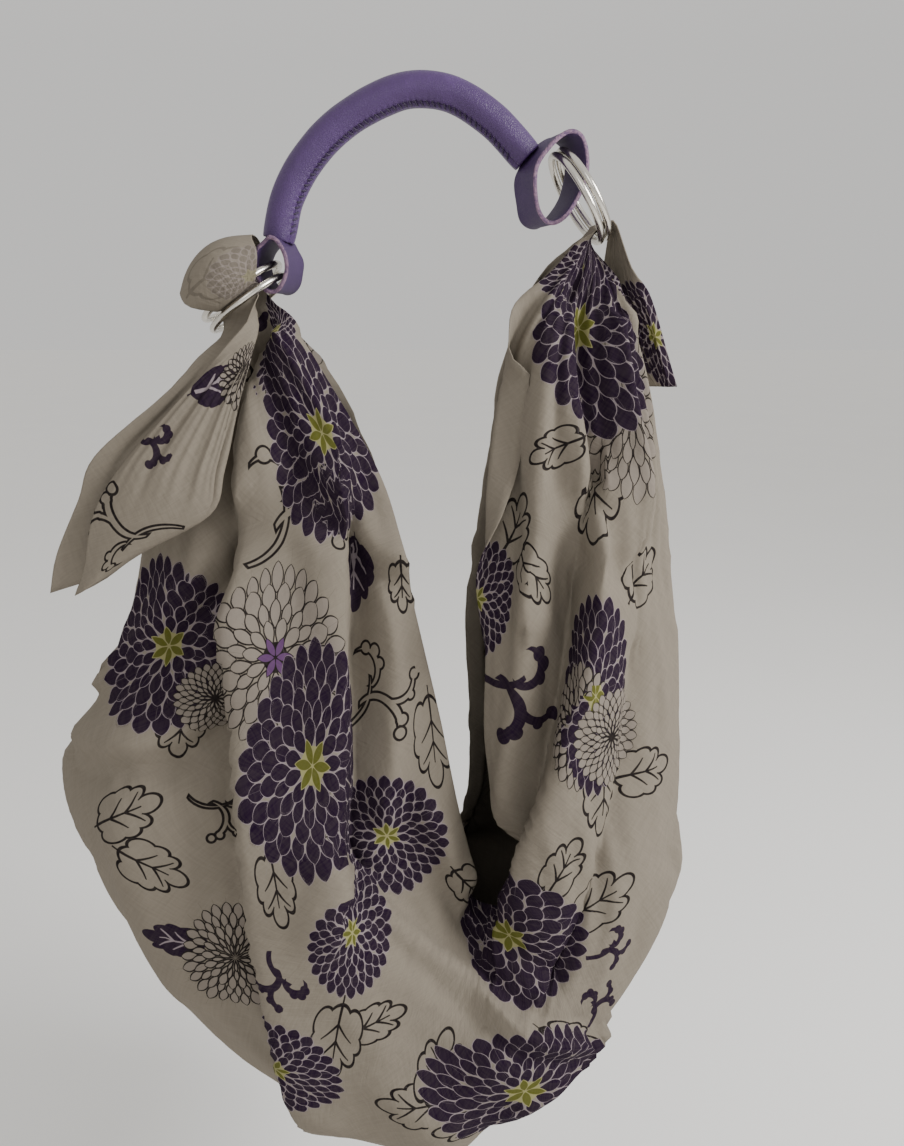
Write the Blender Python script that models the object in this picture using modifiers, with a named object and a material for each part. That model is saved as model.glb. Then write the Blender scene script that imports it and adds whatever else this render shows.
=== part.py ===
"""Furoshiki wrap hung as a drop-shaped shoulder bag from a rolled leather grip with two pairs of steel rings.

The printed cotton square hangs corner to corner as a sling. Its left and right corners pass up through a
pair of rings, turn back over the upper ring and hang as tails. Its near and far corners are drawn in at
the bottom of the two V-shaped mouths and hang inside. Metres, +Z up, the grip's crown at the origin.
"""

import math
from collections import namedtuple

import bpy
import numpy as np
from mathutils import Vector

MM = 0.001

# Driving dimensions, in millimetres.
CLOTH_THICKNESS = 1.2
GRIP_RADIUS = 8.2
RING_RADIUS = 23.0  # to the middle of the wire
WIRE_RADIUS = 1.8
LEFT_RING_STEP = 6.5  # from the lower to the upper ring, with the cloth locked between them
RIGHT_RING_STEP = 4.2
LEATHER_THICKNESS = 2.0
TAB_STEPS = 5

NEAR_FACES = 19
FAR_FACES = 8
HEM_SHARES = (0.15, 0.3, 1.0)  # where the hem's points lie, as shares of its width
HEM_BEND = 0.3  # the share of its width over which a hem turns
KEEL_SHARE = 0.3  # folds fade out over this share of a side next to the keel
FOLD_ROOM = (5, 16)  # and where the section swells no more than this
PLEATS = 5  # half waves across the whole section

# The grip's centre line.
GripPoint = namedtuple("GripPoint", "x z")
GRIP_LINE = (
    GripPoint(-63.5, -66),
    GripPoint(-58.5, -48),
    GripPoint(-43, -25),
    GripPoint(-18, -7),
    GripPoint(2, 0),
    GripPoint(21, -1.5),
    GripPoint(43, -14),
    GripPoint(57.4, -28.3),
)

# The leather loop at each end of the grip: the closed line that it follows round the rings, seen along its
# own hole, the angle that the hole is turned to the right of straight ahead, the y of its middle and the
# length of the hole.
TabPoint = namedtuple("TabPoint", "x z")
Tab = namedtuple("Tab", "line turn middle_y length")
LEFT_TAB = Tab(
    (
        TabPoint(-63, -68.5),
        TabPoint(-57.5, -74.5),
        TabPoint(-56.5, -84),
        TabPoint(-62, -92.5),
        TabPoint(-69, -90),
        TabPoint(-72.5, -81),
        TabPoint(-69.5, -73),
    ),
    -12,
    -3,
    21,
)
RIGHT_TAB = Tab(
    (
        TabPoint(63, -30.5),
        TabPoint(75, -21),
        TabPoint(84, -28),
        TabPoint(81, -48),
        TabPoint(68.5, -61),
        TabPoint(60, -56),
        TabPoint(58, -40),
    ),
    20,
    -4.5,
    22,
)

# Each pair of rings: the lower ring's centre, the way the cloth goes up through it, the way down to the
# part of its wire that the cloth is locked under, and the way from the near hem to the far hem.
Rings = namedtuple("Rings", "centre rise drop across")
LEFT_RINGS = Rings((-80, 0, -98), (-0.58, 0, 0.815), (0, -1, 0), (-0.815, 0, -0.58))
RIGHT_RINGS = Rings((84, 0, -49), (0.848, 0.05, 0.53), (0.53, 0, -0.85), (-0.04, 1, -0.03))

# A section of the hanging cloth, from the near hem round the keel to the far hem. "swell" is how far its
# near and far sides stand out from straight lines to the keel, "flat" is 1 where it is opened out flat,
# "gather" is the height of its pleats, "hem" is the width of the hem and "turn" the angle in degrees that
# the hem is turned over: above 0 to the reverse side, below 0 to the printed side. "rows" is the number of
# rows of faces up to the next section.
Section = namedtuple(
    "Section",
    "name rows near_x near_y near_z keel_x keel_y keel_z far_x far_y far_z"
    " near_swell far_swell flat gather near_hem near_turn far_hem far_turn",
)
LEFT_TAIL = (
    Section("left corner", 2, -160, -54, -236, -147, -51, -229, -174, -46, -237, 3, 3, 0, 0, 4, 0, 4, 0),
    Section("left tail end", 2, -153, -55, -222, -130, -52, -217, -168, -47, -218, 4, 3, 0, 0, 4, 0, 4, 0),
    Section("left tail bend", 2, -145, -56, -196, -94, -53, -197, -154, -48, -191, 5, 4, 0, 0, 4, 0, 4, 0),
    Section("left tail widest", 2, -130, -55, -170, -86, -53, -174, -144, -48, -170, 5, 4, 0, 0.6, 4, 0, 4, 0),
    Section("left tail", 2, -101, -49, -138, -77, -47, -141, -112, -41, -142, 5, 4, 0, 0.6, 4, 0, 4, 0),
    Section("left tail top", 2, -83, -38, -121, -73, -33, -121, -97, -28, -124, 3, 3, 0.6, 0, 4, 0, 4, 0),
    Section("left of the lower ring", 3, -74, -24, -108, -74, -18, -110, -88, -17, -114, 1, 1, 1, 0, 4, 0, 4, 0),
)
LEFT_SLING = (
    Section("through the upper ring", 1, -78, 4, -91, -93, 8, -99, -83, 13, -94, 0, 0, 1, 0, 4, 0, 4, 0),
    Section("through the lower ring", 2, -73, 3, -98, -89, 8, -106, -77, 13, -101, 0, 0, 1, 0, 4, 0, 4, 0),
    Section("left arm top", 2, -62, -4, -106, -100, 6, -121, -70, 14, -109, 5, 4, 0.4, 0.6, 4, 0, 4, 0),
    Section("left arm upper", 2, -45, -10, -128, -115, 5, -147, -54, 18, -128, 11, 12, 0, 1.6, 10, 90, 10, 90),
    Section("left arm", 2, -13, -24, -185, -134, 0, -189, -20, 20, -188, 17, 18, 0, 1.2, 14, 166, 14, 166),
    Section("left arm lower", 2, 4, -36, -254, -156, 0, -268, -4, 26, -258, 28, 30, 0, 0.6, 14, 166, 14, 166),
    Section("left hip", 2, 15, -41, -306, -186, 0, -328, 6, 34, -316, 40, 42, 0, 0, 14, 166, 14, 166),
    Section("left hip fold", 2, 22, -45, -342, -201, 0, -350, 8, 40, -352, 50, 52, 0, 0, 14, 166, 14, 166),
    Section("left flank", 2, 28, -47, -370, -192, 0, -388, 7, 44, -390, 60, 62, 0, 0, 14, 166, 14, 166),
    Section("left bottom", 2, 34, -49, -390, -148, 0, -474, 8, 46, -412, 68, 70, 0, 0, 14, 166, 14, 166),
    Section("left of bottom", 2, 39, -50, -404, -90, 0, -542, 12, 48, -427, 76, 78, 0, 0, 14, 166, 14, 166),
    Section("bottom", 2, 45, -50, -409, -12, 0, -581, 18, 49, -432, 80, 82, 0, 0, 14, 166, 14, 166),
)
RIGHT_SLING = (
    Section("right of bottom", 2, 51, -50, -402, 64, 0, -546, 24, 48, -426, 76, 78, 0, 0, 14, 160, 14, 166),
    Section("right bottom", 2, 51, -49, -388, 113, 0, -484, 29, 46, -411, 70, 72, 0, 0, 14, 155, 14, 166),
    Section("right hip", 2, 47, -46, -366, 147, 0, -414, 33, 43, -386, 58, 60, 0, 0, 14, 150, 14, 166),
    Section("right arm lower", 2, 39, -42, -320, 152, 0, -340, 33, 38, -336, 44, 46, 0, 0, 14, 140, 14, 166),
    Section("right arm middle", 2, 41, -37, -250, 145, 0, -262, 31, 31, -266, 32, 34, 0, 0.6, 6, 0, 14, 166),
    Section("right arm", 2, 41, -29, -185, 134, 0, -190, 40, 25, -196, 22, 24, 0, 1.2, 18, -150, 14, 166),
    Section("right arm upper", 2, 51, -20, -128, 118, 3, -118, 48, 18, -130, 12, 14, 0, 1.6, 20, -160, 10, 166),
    Section("right arm top", 2, 74, -12, -90, 105, 3, -87, 67, 14, -89, 6, 6, 0.2, 1, 7, -60, 4, 60),
)
RIGHT_TAIL = (
    Section("right tail top", 2, 112, 1, -82, 109, 10, -84, 104, 18, -87, 0, 0, 1, 0, 4, 0, 4, 0),
    Section("right tail", 2, 124, 11, -99, 117, 17, -102, 110, 23, -105, 0, 0, 1, 0.3, 4, 0, 4, 0),
    Section("right tail end", 2, 134, 16, -124, 127, 21, -126, 119, 25, -129, 0, 0, 1, 0.3, 4, 0, 4, 0),
    Section("right corner", 0, 140, 18, -141, 135, 20, -141, 130, 22, -141, 0, 0, 1, 0, 4, 0, 4, 0),
)

# The cloth's way round the rings, opened flat: the middle of the section from the lower ring's centre,
# along that pair's rise and drop, the widths on its near and far sides, and how far its edges lie from
# its middle.
Loop = namedtuple("Loop", "name rows rise drop near far edge_rise edge_drop gather")
LEFT_LOOP = (
    Loop("under the lower ring", 1, 0.5, 19.2, 6, 9, 0, -2.2, 0),
    Loop("between the rings, inside", 1, 2.6, 21, 8, 8, 0, -2.6, 0),
    Loop("between the rings", 1, 3.2, 23, 8, 8, 0, -2.6, 0),
    Loop("between the rings, outside", 1, 3.4, 25.8, 8, 9, 0, -2.8, 0),
    Loop("above the gap", 1, 7, 30.5, 11, 12, -1, -4, 0.3),
    Loop("loop front", 2, 15, 34, 17, 17, -3, -5, 0.5),
    Loop("loop front top", 2, 27, 25, 19, 19, -6, -3, 0),
    Loop("loop top", 2, 31, 9, 19, 19, -6, 0, 0),
    Loop("loop back top", 2, 28, -6, 18, 18, -5, 0, 0),
    Loop("loop back", 2, 17, -11, 13, 15, -2, 0, 0.3),
)
RIGHT_LOOP = (
    Loop("before the lower ring", 1, -4, 20.2, 8, 8, 0, -1.4, 0),
    Loop("through both rings", 1, 2.1, 18.4, 7, 7, 0, -1.6, 0),
    Loop("past the upper ring", 1, 7, 20.2, 7, 7, 0, -1.5, 0),
    Loop("beside the upper ring", 1, 8.8, 24, 8, 8, 0, -1.4, 0),
)

# A fold seen from the front: the x and z of its start, middle and end, its height (below 0, a trough) and
# how far it reaches to the left and to the right of its line.
Fold = namedtuple("Fold", "x1 z1 x2 z2 x3 z3 height left right")
NEAR_FOLDS = (
    Fold(-62, -104, -76, -180, -78, -262, 9, 13, 18),
    Fold(-82, -130, -100, -200, -100, -262, -7, 18, 13),
    Fold(-78, -262, -72, -370, -50, -500, 11, 15, 26),
    Fold(-102, -262, -98, -370, -76, -500, -8, 20, 15),
    Fold(-56, -118, -42, -172, -4, -226, 8, 13, 16),
    Fold(-38, -190, -36, -270, -32, -380, 10, 20, 14),
    Fold(-16, -230, -12, -300, -6, -384, -7, 14, 14),
    Fold(-84, -208, -112, -244, -150, -280, -9, 14, 18),
    Fold(-34, -372, 16, -424, 108, -476, 11, 24, 16),
    Fold(-22, -356, 22, -402, 100, -444, -6, 14, 18),
    Fold(8, -356, 22, -384, 34, -408, 9, 13, 13),
    Fold(98, -205, 86, -290, 50, -418, 11, 14, 22),
    Fold(78, -215, 66, -290, 40, -400, -8, 14, 14),
    Fold(84, -95, 92, -160, 108, -230, -7, 13, 13),
    Fold(66, -120, 62, -180, 62, -250, 7, 14, 14),
    Fold(-140, -290, -150, -360, -120, -450, 8, 24, 20),
)
FAR_FOLDS = (
    Fold(-70, -110, -84, -210, -90, -340, 9, 16, 18),
    Fold(-50, -130, -30, -240, -20, -370, 8, 16, 18),
    Fold(-100, -300, -90, -400, -30, -500, -8, 18, 18),
    Fold(-16, -462, -60, -460, -110, -430, 9, 20, 18),
    Fold(40, -470, 80, -470, 120, -440, 9, 18, 20),
    Fold(92, -90, 104, -190, 108, -320, 9, 16, 18),
    Fold(70, -110, 66, -220, 60, -330, -7, 16, 16),
    Fold(-60, -510, 0, -540, 70, -520, 9, 20, 26),
)


def clear_scene():
    for obj in list(bpy.data.objects):
        bpy.data.objects.remove(obj, do_unlink=True)


def material(name, colour, roughness, metallic=0.0):
    made = bpy.data.materials.new(name)
    made.use_nodes = True
    shader = made.node_tree.nodes["Principled BSDF"]
    shader.inputs["Base Color"].default_value = (*colour, 1.0)
    shader.inputs["Roughness"].default_value = roughness
    shader.inputs["Metallic"].default_value = metallic
    made.diffuse_color = (*colour, 1.0)
    return made


def add_object(name, mesh, collection, finish):
    obj = bpy.data.objects.new(name, mesh)
    obj.data.materials.append(finish)
    collection.objects.link(obj)
    return obj


def unit(vectors):
    return vectors / np.maximum(np.linalg.norm(vectors, axis=-1, keepdims=True), 1e-9)


def smoothstep(values, low, high):
    """0 below low, 1 above high and a soft S between them."""
    share = np.clip((values - low) / (high - low), 0, 1)
    return share * share * (3 - 2 * share)


def through(values, rows):
    """Smooth curves through the values, one line of values to a point, with that many rows up to the next.

    Each span is a cubic whose slope at a point is the mean of the slopes on its two sides."""
    values = np.asarray(values, float)
    steps = np.asarray(rows, float)[:-1, None]
    slopes = np.diff(values, axis=0) / steps
    inner = (slopes[:-1] * steps[1:] + slopes[1:] * steps[:-1]) / (steps[:-1] + steps[1:])
    slope = np.vstack([slopes[:1], inner, slopes[-1:]])
    result = []
    for index, count in enumerate(rows[:-1]):
        t = np.arange(count)[:, None] / count
        start, end = values[index], values[index + 1]
        bend_start, bend_end = slope[index] * count, slope[index + 1] * count
        result.append(
            start * (2 * t**3 - 3 * t**2 + 1)
            + bend_start * (t**3 - 2 * t**2 + t)
            + end * (3 * t**2 - 2 * t**3)
            + bend_end * (t**3 - t**2)
        )
    return np.vstack(result + [values[-1:]])


def loop_sections(loop, rings):
    """The loop's rows as sections, in the world, with a narrow hem that isn't turned."""
    centre, rise, drop, across = (np.array(way, float) for way in rings)
    sections = []
    for row in loop:
        middle = centre + row.rise * rise + row.drop * drop
        edges = middle + row.edge_rise * rise + row.edge_drop * drop
        near, far = edges - row.near * across, edges + row.far * across
        sections.append(Section(row.name, row.rows, *near, *middle, *far, 0, 0, 1, row.gather, 4, 0, 4, 0))
    return tuple(sections)


def all_sections():
    left_loop = loop_sections(LEFT_LOOP, LEFT_RINGS)
    right_loop = loop_sections(RIGHT_LOOP, RIGHT_RINGS)
    return LEFT_TAIL + left_loop + LEFT_SLING + RIGHT_SLING + right_loop + RIGHT_TAIL


def places_across():
    """Where the points of a section lie: -1 at the near edge, 0 at the keel and 1 at the far edge."""
    return np.concatenate([np.linspace(-1, 0, NEAR_FACES, endpoint=False), np.linspace(0, 1, FAR_FACES + 1)])


def section_curve(near, keel, far, near_swell, far_swell, flat):
    """Each section's points from its near edge round the keel to its far edge.

    Folded, each side leaves the keel square to it and bellies out as a half wave. Flat, the three points
    are joined by one parabola."""
    place = places_across()[None, :, None]
    reach = 1 - np.abs(place)
    run = 0.6 * np.sin(0.5 * math.pi * reach) + 0.4 * (1 - np.cos(math.pi * reach)) / 2
    edge = np.where(place < 0, near[:, None], far[:, None])
    swell = np.where(place < 0, -near_swell[:, None, None], far_swell[:, None, None])
    backward = np.array([0.0, 1.0, 0.0])
    folded = edge + (keel[:, None] - edge) * run + backward * swell * np.sin(math.pi * reach)
    half_width, lift = (far - near)[:, None] / 2, ((far + near) / 2 - keel)[:, None]
    opened = keel[:, None] + half_width * place + lift * place**2
    return folded + (opened - folded) * flat[:, None, None]


def print_side(grid):
    """Unit normals of the grid, on the side that bears the print."""
    return unit(np.cross(np.gradient(grid, axis=1), np.gradient(grid, axis=0)))


def fold_lift(points, folds):
    """How far the folds lift points out of the cloth, by their distance from each fold's line in x and z."""
    spots = points[..., [0, 2]]
    total = np.zeros(spots.shape[:-1])
    for fold in folds:
        start, middle, end = np.array(fold[:6], float).reshape(3, 2)
        handle = 2 * middle - (start + end) / 2
        t = np.linspace(0, 1, 33)[:, None]
        line = start * (1 - t) ** 2 + handle * 2 * t * (1 - t) + end * t**2
        offset = spots[..., None, :] - line
        nearest = np.linalg.norm(offset, axis=-1).argmin(axis=-1)
        aside = np.take_along_axis(offset, nearest[..., None, None], axis=-2)[..., 0, :]
        run = np.gradient(line, axis=0)[nearest]
        on_right = run[..., 0] * aside[..., 1] - run[..., 1] * aside[..., 0] > 0
        reach = np.where(on_right, fold.right, fold.left)
        total += fold.height * np.exp(-((np.linalg.norm(aside, axis=-1) / reach) ** 2))
    return total


def turned_hem(body, normals, width, turn):
    """The hem beyond the body's first column, from its free edge to just short of that column.

    It leaves the body straight, turns by its angle over the first share of its width along an arc, towards
    the reverse side where the angle is above 0, and runs on straight. Its arc's coordinates are the sums of
    the cosine and the sine of the angle turned so far."""
    outward = unit(body[:, 0] - body[:, 1])
    reverse = -unit(normals[:, 0] - outward * (normals[:, 0] * outward).sum(axis=1, keepdims=True))
    columns = []
    for share in reversed(HEM_SHARES):
        bent = min(share, HEM_BEND)
        angle = np.radians(turn) * bent / HEM_BEND
        half = np.sinc(angle / (2 * math.pi))
        out = bent * half * np.cos(angle / 2) + (share - bent) * np.cos(np.radians(turn))
        back = bent * half * np.sin(angle / 2) + (share - bent) * np.sin(np.radians(turn))
        columns.append(body[:, 0] + (width * out)[:, None] * outward + (width * back)[:, None] * reverse)
    return np.stack(columns, axis=1)


def cloth_grid():
    """The middle of the cloth: rows of points from the left corner to the right, near hem to far hem."""
    sections = all_sections()
    table = through([section[2:] for section in sections], [section.rows for section in sections])
    near, keel, far = table[:, 0:3], table[:, 3:6], table[:, 6:9]
    near_swell, far_swell, flat, gather, near_hem, near_turn, far_hem, far_turn = table[:, 9:].T
    body = section_curve(near, keel, far, near_swell, far_swell, np.clip(flat, 0, 1))
    place = places_across()[None, :]
    lift = np.where(place < 0, fold_lift(body, NEAR_FOLDS), fold_lift(body, FAR_FOLDS))
    room = np.minimum(near_swell, far_swell)[:, None]
    lift = lift * smoothstep(np.abs(place), 0, KEEL_SHARE) * smoothstep(room, *FOLD_ROOM)
    pleats = gather[:, None] * np.cos(PLEATS * math.pi * place)
    body = body + print_side(body) * (lift + pleats)[..., None]
    normals = print_side(body)
    near_strip = turned_hem(body, normals, near_hem, near_turn)
    far_strip = turned_hem(body[:, ::-1], normals[:, ::-1], far_hem, far_turn)
    return np.concatenate([near_strip, body, far_strip[:, ::-1]], axis=1)


def grid_mesh(name, grid, closed=False):
    """A mesh of the grid's faces, with its last column joined to its first where it is closed."""
    rows, columns = grid.shape[:2]
    start = np.arange(columns if closed else columns - 1)
    after = (start + 1) % columns
    lines = np.arange(rows - 1)[:, None] * columns
    faces = np.stack([lines + start, lines + after, lines + columns + after, lines + columns + start], axis=-1)
    mesh = bpy.data.meshes.new(name)
    mesh.from_pydata((grid.reshape(-1, 3) * MM).tolist(), [], faces.reshape(-1, 4).tolist())
    mesh.update()
    for face in mesh.polygons:
        face.use_smooth = True
    return mesh


def thicken(obj, thickness):
    solid = obj.modifiers.new("Thickness", "SOLIDIFY")
    solid.thickness = thickness * MM
    solid.offset = 0.0
    solid.use_quality_normals = True


def build_cloth(collection):
    cotton = material("Printed cotton", (0.45, 0.41, 0.35), 0.9)
    thicken(add_object("cloth", grid_mesh("cloth", cloth_grid()), collection, cotton), CLOTH_THICKNESS)


def build_ring(name, rings, step, collection, steel):
    """A wire ring round the rise of its pair, that far above the lower ring."""
    centre, rise = np.array(rings.centre, float), np.array(rings.rise, float)
    bpy.ops.mesh.primitive_torus_add(
        major_radius=RING_RADIUS * MM,
        minor_radius=WIRE_RADIUS * MM,
        major_segments=40,
        minor_segments=8,
        location=tuple((centre + step * rise) * MM),
        rotation=Vector((0, 0, 1)).rotation_difference(Vector(rise)).to_euler(),
    )
    ring = bpy.context.object
    ring.name = name
    for face in ring.data.polygons:
        face.use_smooth = True
    ring.data.materials.append(steel)
    for holder in ring.users_collection:
        holder.objects.unlink(ring)
    collection.objects.link(ring)


def build_grip(collection, leather):
    curve = bpy.data.curves.new("grip", "CURVE")
    curve.dimensions = "3D"
    curve.bevel_depth = GRIP_RADIUS * MM
    curve.bevel_resolution = 3
    curve.use_fill_caps = True
    curve.resolution_u = 6
    line = curve.splines.new("BEZIER")
    line.bezier_points.add(len(GRIP_LINE) - 1)
    for point, spot in zip(line.bezier_points, GRIP_LINE):
        point.co = (spot.x * MM, 0.0, spot.z * MM)
        point.handle_left_type = point.handle_right_type = "AUTO"
    add_object("grip", curve, collection, leather)


def closed_line(spots):
    """A smooth closed curve through the spots, in x and z."""
    wrapped = np.array(spots[-1:] + spots + spots[:2], float)
    curve = through(wrapped, [TAB_STEPS] * len(wrapped))
    return curve[TAB_STEPS : -TAB_STEPS - 1]


def build_tab(name, tab, collection, leather):
    """A leather strap that follows a closed line round the rings, with a hole from end to end."""
    line = closed_line(tab.line)
    middle = line.mean(axis=0)
    grid = np.array(
        [[(x - middle[0], depth, z - middle[1]) for x, z in line] for depth in (-tab.length / 2, 0, tab.length / 2)]
    )
    strap = add_object(name, grid_mesh(name, grid, closed=True), collection, leather)
    strap.location = (middle[0] * MM, tab.middle_y * MM, middle[1] * MM)
    strap.rotation_euler.z = math.radians(tab.turn)
    thicken(strap, LEATHER_THICKNESS)


def main():
    clear_scene()
    collection = bpy.data.collections.new("Furoshiki wrap")
    bpy.context.scene.collection.children.link(collection)
    leather = material("Purple leather", (0.09, 0.04, 0.19), 0.45)
    steel = material("Steel", (0.6, 0.58, 0.55), 0.25, 1.0)
    build_cloth(collection)
    build_grip(collection, leather)
    build_tab("left_tab", LEFT_TAB, collection, leather)
    build_tab("right_tab", RIGHT_TAB, collection, leather)
    for side, rings, step in (("left", LEFT_RINGS, LEFT_RING_STEP), ("right", RIGHT_RINGS, RIGHT_RING_STEP)):
        build_ring(f"{side}_ring_lower", rings, 0.0, collection, steel)
        build_ring(f"{side}_ring_upper", rings, step, collection, steel)


main()
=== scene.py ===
"""Furoshiki wrap: a printed cotton square hung as a bag from a rolled leather grip with steel rings."""

import math
from collections import namedtuple

import bpy
import numpy as np
from bpy.props import FloatProperty, FloatVectorProperty, PointerProperty
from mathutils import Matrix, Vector
from mathutils.bvhtree import BVHTree


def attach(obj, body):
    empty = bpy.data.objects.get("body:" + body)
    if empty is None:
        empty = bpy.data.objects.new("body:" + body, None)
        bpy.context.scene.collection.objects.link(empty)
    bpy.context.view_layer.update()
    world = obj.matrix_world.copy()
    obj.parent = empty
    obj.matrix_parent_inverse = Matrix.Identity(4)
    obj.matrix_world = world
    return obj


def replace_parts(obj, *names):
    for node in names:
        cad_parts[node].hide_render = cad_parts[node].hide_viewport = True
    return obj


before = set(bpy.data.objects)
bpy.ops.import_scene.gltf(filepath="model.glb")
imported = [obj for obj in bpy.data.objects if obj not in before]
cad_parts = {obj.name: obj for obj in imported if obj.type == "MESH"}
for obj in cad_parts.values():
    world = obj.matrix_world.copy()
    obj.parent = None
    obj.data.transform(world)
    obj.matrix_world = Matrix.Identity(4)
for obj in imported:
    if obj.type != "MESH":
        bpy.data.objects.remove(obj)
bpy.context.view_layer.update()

bl_info = {
    "name": "Furoshiki Wrap",
    "version": (1, 0, 0),
    "blender": (4, 5, 0),
    "location": "3D View > Sidebar > Wrap",
    "description": "Builds the printed cloth, leather grip, rings and studio of a furoshiki wrap",
    "category": "Add Mesh",
}

MM = 0.001

# The camera: its place, how far it looks down, its focal length in pixels and the frame's size in pixels.
CAMERA_SPOT = (0.0226, -0.48, -0.1116)
CAMERA_PITCH = math.radians(15)
FOCAL = 905.0
FRAME_WIDTH, FRAME_HEIGHT = 904, 1146
SENSOR = 36.0  # the sensor's longer side in millimetres


def rows_of(kind, *rows):
    """A table whose rows are all of one kind."""
    return tuple(kind(*row) for row in rows)


# ------------------------------------------------------------------ the cloth's shape, in millimetres

NEAR_FACES = 88
FAR_FACES = 44
ROW_STEP = 5.6  # about how far apart the rows of faces lie
HEM_SHARES = (0.06, 0.12, 0.18, 0.24, 0.3, 0.5, 0.75, 1.0)
HEM_BEND = 0.3
KEEL_SHARE = 0.12
FOLD_ROOM = (2, 10)

Rings = namedtuple("Rings", "centre rise drop across")
LEFT_RINGS = Rings((-80, 0, -98), (-0.58, 0, 0.815), (0, -1, 0), (-0.815, 0, -0.58))
RIGHT_RINGS = Rings((84, 0, -49), (0.848, 0.05, 0.53), (0.53, 0, -0.85), (-0.04, 1, -0.03))
LEFT_RING_STEP, RIGHT_RING_STEP = 6.5, 4.2
RING_RADIUS, WIRE_RADIUS = 23.0, 1.8
RING_SIDES, WIRE_SIDES = 128, 20

# A section of the cloth from the near hem round the keel to the far hem: "swell" is how far a side stands
# out from a straight line to the keel, "flat" is 1 where it is opened out, "gather" is the height of its
# pleats, and each hem has a width and the angle that it is turned over.
Section = namedtuple(
    "Section",
    "name rows near_x near_y near_z keel_x keel_y keel_z far_x far_y far_z"
    " near_swell far_swell flat gather near_hem near_turn far_hem far_turn",
    defaults=(4, 0, 4, 0),
)
LEFT_TAIL = rows_of(
    Section,
    ("left corner", 2, -160, -54, -236, -147, -51, -229, -174, -46, -237, 3, 3, 0, 0),
    ("left tail end", 2, -153, -55, -222, -130, -52, -217, -168, -47, -218, 4, 3, 0, 0),
    ("left tail bend", 2, -145, -56, -196, -94, -53, -197, -154, -48, -191, 5, 4, 0, 0),
    ("left tail widest", 2, -130, -55, -170, -86, -53, -174, -144, -48, -170, 5, 4, 0, 0.6),
    ("left tail", 2, -101, -49, -138, -77, -47, -141, -112, -41, -142, 5, 4, 0, 0.6),
    ("left tail top", 2, -83, -38, -121, -73, -33, -121, -97, -28, -124, 3, 3, 0.6, 0),
    ("left of the lower ring", 3, -74, -24, -108, -74, -18, -110, -88, -17, -114, 1, 1, 1, 0),
)
LEFT_SLING = rows_of(
    Section,
    ("through the upper ring", 1, -78, 4, -91, -93, 8, -99, -83, 13, -94, 0, 0, 1, 0),
    ("through the lower ring", 2, -73, 3, -98, -89, 8, -106, -77, 13, -101, 0, 0, 1, 0),
    ("left arm top", 2, -62, -4, -106, -100, 6, -121, -70, 14, -109, 5, 4, 0.4, 0.6),
    ("left arm upper", 2, -45, -10, -128, -115, 5, -147, -54, 18, -128, 11, 12, 0, 1.6, 10, 90, 10, 90),
    ("left arm", 2, -13, -24, -185, -134, 0, -189, -20, 20, -188, 17, 18, 0, 1.2, 14, 166, 14, 166),
    ("left arm lower", 2, 4, -36, -254, -156, 0, -268, -4, 26, -258, 28, 30, 0, 0.6, 14, 166, 14, 166),
    ("left hip", 2, 15, -41, -306, -186, 0, -328, 6, 34, -316, 40, 42, 0, 0, 14, 166, 14, 166),
    ("left hip fold", 2, 22, -45, -342, -201, 0, -350, 8, 40, -352, 50, 52, 0, 0, 14, 166, 14, 166),
    ("left flank", 2, 28, -47, -370, -192, 0, -388, 7, 44, -390, 60, 62, 0, 0, 14, 166, 14, 166),
    ("left bottom", 2, 34, -49, -390, -148, 0, -474, 8, 46, -412, 68, 70, 0, 0, 14, 166, 14, 166),
    ("left of bottom", 2, 39, -50, -404, -90, 0, -542, 12, 48, -427, 76, 78, 0, 0, 14, 166, 14, 166),
    ("bottom", 2, 45, -50, -409, -12, 0, -581, 18, 49, -432, 80, 82, 0, 0, 14, 166, 14, 166),
)
RIGHT_SLING = rows_of(
    Section,
    ("right of bottom", 2, 51, -50, -402, 64, 0, -546, 24, 48, -426, 76, 78, 0, 0, 14, 160, 14, 166),
    ("right bottom", 2, 51, -49, -388, 113, 0, -484, 29, 46, -411, 70, 72, 0, 0, 14, 155, 14, 166),
    ("right hip", 2, 47, -46, -366, 147, 0, -414, 33, 43, -386, 58, 60, 0, 0, 14, 150, 14, 166),
    ("right arm lower", 2, 39, -42, -320, 152, 0, -340, 33, 38, -336, 44, 46, 0, 0, 14, 140, 14, 166),
    ("right arm middle", 2, 41, -37, -250, 145, 0, -262, 31, 31, -266, 32, 34, 0, 0.6, 6, 0, 14, 166),
    ("right arm", 2, 41, -29, -185, 134, 0, -190, 40, 25, -196, 22, 24, 0, 1.2, 18, -150, 14, 166),
    ("right arm upper", 2, 51, -20, -128, 118, 3, -118, 48, 18, -130, 12, 14, 0, 1.6, 20, -160, 10, 166),
    ("right arm top", 2, 74, -12, -90, 105, 3, -87, 67, 14, -89, 6, 6, 0.2, 1, 7, -60, 4, 60),
)
RIGHT_TAIL = rows_of(
    Section,
    ("right tail top", 2, 112, 1, -82, 109, 10, -84, 104, 18, -87, 0, 0, 1, 0),
    ("right tail", 2, 124, 11, -99, 117, 17, -102, 110, 23, -105, 0, 0, 1, 0.3),
    ("right tail end", 2, 134, 16, -124, 127, 21, -126, 119, 25, -129, 0, 0, 1, 0.3),
    ("right corner", 0, 140, 18, -141, 135, 20, -141, 130, 22, -141, 0, 0, 1, 0),
)

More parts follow.
